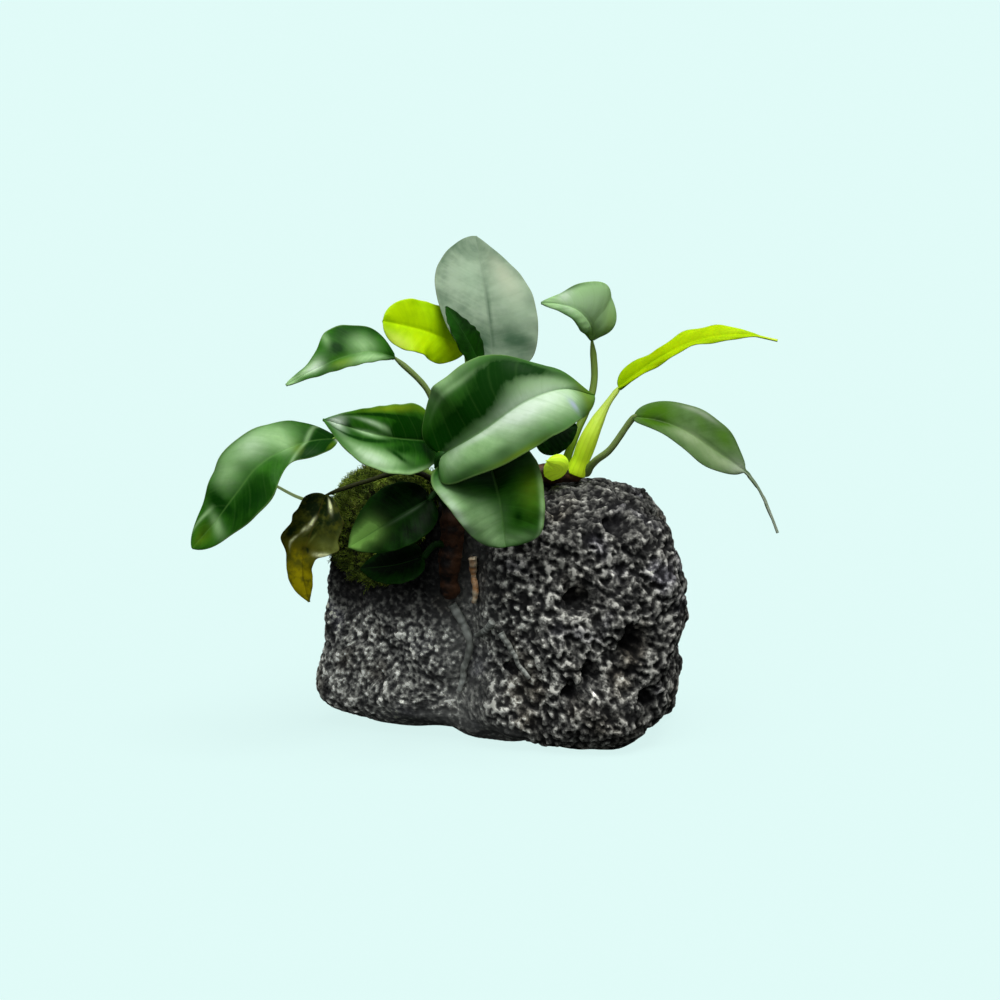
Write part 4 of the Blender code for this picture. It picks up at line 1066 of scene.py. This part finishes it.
moss = dict(
    towards=(-0.80, -0.16, 0.66), reach=0.34, oval=1.25, thickness=8.5, lift=2, rings=26,
    spokes=90, lobes=(3, 0.12), lumps=(5, 0.15),  # how many round it and how strong
    rough=0.5, cushionLevel=0.65, tuftLevel=0.6, tufts=3200, overhang=1.02, splay=0.45, rise=0.15,
    tuftLength=(1.8, 4.0), bend=0.5)


def mossSkin(share, turn, level):
    # a place on the cushion: cast from the stone's middle, level 0 at its foot and 1 on top
    towards = unit(np.array(moss["towards"], float))
    side = unit(np.cross(towards, (0, 0, 1)))
    up = np.cross(side, towards)
    lobes, lobe = moss["lobes"]
    lumps, lump = moss["lumps"]
    reach = moss["reach"] * share * (1 + lobe * np.sin(lobes * turn + 1))
    way = unit(towards + reach[:, None] * (side * np.cos(turn)[:, None]
                                           + moss["oval"] * up * np.sin(turn)[:, None]))
    middle = Vector(stone["middle"])
    hits = np.array([stoneTree.ray_cast(middle, Vector(w))[0] for w in way])
    lump = 1 + lump * np.sin(lumps * turn + 4 * share) * share
    height = moss["thickness"] * np.sqrt(np.maximum(1 - share**2, 0)) * lump * level
    return hits + way * (moss["lift"] * np.where(level > 0, 1, 0.3) + height)[:, None], way


def mossMaterial(name, light, dark):
    # clumps of two greens with brown bits
    material, shader, place = newMaterial(name, {"Roughness": 0.9, "Specular IOR Level": 0.2})
    clump = place.noise(260, 4)
    colour = clump.ease(0.35, 0.65).colour(dark, light)
    colour = (place.noise(90, 2).ease(0.55, 0.7) * 0.6).colour(colour, (0.10, 0.055, 0.02))
    feed(shader, colour, clump, 0.4)
    return material


sprig = dict(radius=0.035, leaflets=9, lowest=0.18, apart=0.085, turn=2.4, width=0.07,
             length=0.34, rise=0.9)


def sprigShape():
    # one sprig of unit length along Z: a thin three-sided stem with pointed leaflets round it
    angle = np.arange(3) * 2 * math.pi / 3
    points = [*(sprig["radius"] * np.stack([np.cos(angle), np.sin(angle), 0 * angle], -1)),
              (0, 0, 1)]
    threes = [(0, 1, 3), (1, 2, 3), (2, 0, 3), (2, 1, 0)]
    for number in range(sprig["leaflets"]):
        height, turn = sprig["lowest"] + sprig["apart"] * number, sprig["turn"] * number
        across = np.array((-math.sin(turn), math.cos(turn), 0)) * sprig["width"]
        foot = np.array((0, 0, height))
        out = np.array((math.cos(turn), math.sin(turn), sprig["rise"]))
        out = out * (sprig["length"] * (1 - 0.5 * height))
        start = len(points)
        points += [foot - across * 0.4, foot + across * 0.4 + (0, 0, 0.02),
                   foot + out * 0.55 + across + (0, 0, -0.04), foot + out]
        threes += [(start + a, start + b, start + c)
                   for a, b, c in ((0, 1, 2), (1, 3, 2), (0, 2, 3), (0, 3, 1))]
    return np.array(points, float), np.array(threes)


def growTufts(name, feet, ways, lengths, seed):
    # copies of the sprig, each turned to its own way, scaled and bent, as one mesh
    shape, threes = sprigShape()
    random = np.random.default_rng(seed)
    ways = unit(ways)
    side = unit(np.cross(ways, random.normal(size=ways.shape)))
    other = np.cross(ways, side)
    local = np.repeat(shape[None], len(feet), axis=0)
    local[..., 0] += moss["bend"] * random.uniform(-1, 1, (len(feet), 1)) * local[..., 2] ** 2
    turned = (local[..., :1] * side[:, None] + local[..., 1:2] * other[:, None]
              + local[..., 2:] * ways[:, None]) * lengths[:, None, None] + feet[:, None]
    faces = threes[None] + (np.arange(len(feet)) * len(shape))[:, None, None]
    return addMesh(name, turned.reshape(-1, 3), np.empty((0, 4)), faces.reshape(-1, 3), {})


def makeMoss():
    # the cushion's rings run up from its foot over the skin and back under it
    rings, spokes = moss["rings"], moss["spokes"]
    turn = np.linspace(0, 2 * math.pi, spokes, endpoint=False)
    rows = []
    upwards = [(k / rings, moss["cushionLevel"]) for k in range(1, rings + 1)]
    for share, level in upwards + [(k / rings, 0.0) for k in range(rings - 1, 0, -1)]:
        rows.append(mossSkin(np.full(spokes, share), turn, np.full(spokes, level))[0])
    skin = np.array(rows)
    rough = moss["rough"] * clouds(skin, 1.6, 61)[..., None]
    skin = skin + rough * unit(np.array(moss["towards"]))
    dark = mossMaterial("mossCushion", (0.06, 0.075, 0.016), (0.012, 0.016, 0.006))
    dress(closedTube("mossCushion", skin, {}), dark, "moss")
    random = np.random.default_rng(5)
    count = moss["tufts"]
    share = np.sqrt(random.uniform(0, 1, count)) * moss["overhang"]
    turn = random.uniform(0, 2 * math.pi, count)
    feet, ways = mossSkin(share, turn, np.full(count, moss["tuftLevel"]))
    ways = ways + random.normal(0, moss["splay"], ways.shape) + np.array((0, 0, moss["rise"]))
    tufts = growTufts("mossTufts", feet, ways, random.uniform(*moss["tuftLength"], count), 6)
    light = mossMaterial("mossTufts", (0.44, 0.60, 0.08), (0.07, 0.12, 0.016))
    dress(tufts, light, "moss")


makeMoss()
print("moss made")

# floor, light and background

studio = dict(
    mint=(0.745, 0.956, 0.930), floorGlow=0.91, floorPaint=0.07, floorSize=14,
    above=(0.36, 0.39, 0.38), below=(0.02, 0.023, 0.022),
    lamps=(  # name, direction that it shines from, strength, width in degrees and colour
        ("overhead", (0.15, -0.22, 1.0), 3.3, 36, (1, 1, 0.97)),
        ("front", (-0.35, -1.0, 0.75), 0.45, 50, (0.97, 1, 1))))


def makeStudio():
    size = studio["floorSize"] / mm
    corners = np.array(((-1, -1, 0), (1, -1, 0), (1, 1, 0), (-1, 1, 0))) * size / 2
    floor = addMesh("floor", corners, np.array([[0, 1, 2, 3]]), np.empty((0, 3)), {})
    paint = newMaterial("paleFloor", {
        "Base Color": (*(studio["floorPaint"] * c for c in studio["mint"]), 1), "Roughness": 1.0,
        "Specular IOR Level": 0.0, "Emission Color": (*studio["mint"], 1),
        "Emission Strength": studio["floorGlow"]})[0]
    floor.data.materials.append(paint)
    floor.visible_diffuse = False
    floor.visible_glossy = False

    world = bpy.data.worlds.new("studio")
    world.use_nodes = True
    bpy.context.scene.world = world
    back = Wire(world.node_tree.nodes["Background"].outputs[0])
    place = back.node("TexCoord", out="Generated")
    height = back.node("SeparateXYZ", dict(Vector=place), "Z")
    light = height.ease(-0.3, 1.0).colour(studio["below"], studio["above"])
    seen = back.node("LightPath", out="Is Camera Ray").colour(light, studio["mint"])
    world.node_tree.links.new(seen.socket, world.node_tree.nodes["Background"].inputs["Color"])

    for name, direction, strength, spreadAngle, colour in studio["lamps"]:
        lamp = bpy.data.lights.new(name, "SUN")
        lamp.energy, lamp.color, lamp.angle = strength, colour, math.radians(spreadAngle)
        made = bpy.data.objects.new(name, lamp)
        made.rotation_euler = Vector(direction).to_track_quat("Z", "Y").to_euler()
        bpy.context.scene.collection.objects.link(made)
    bpy.context.scene.view_settings.view_transform = "Standard"


makeStudio()
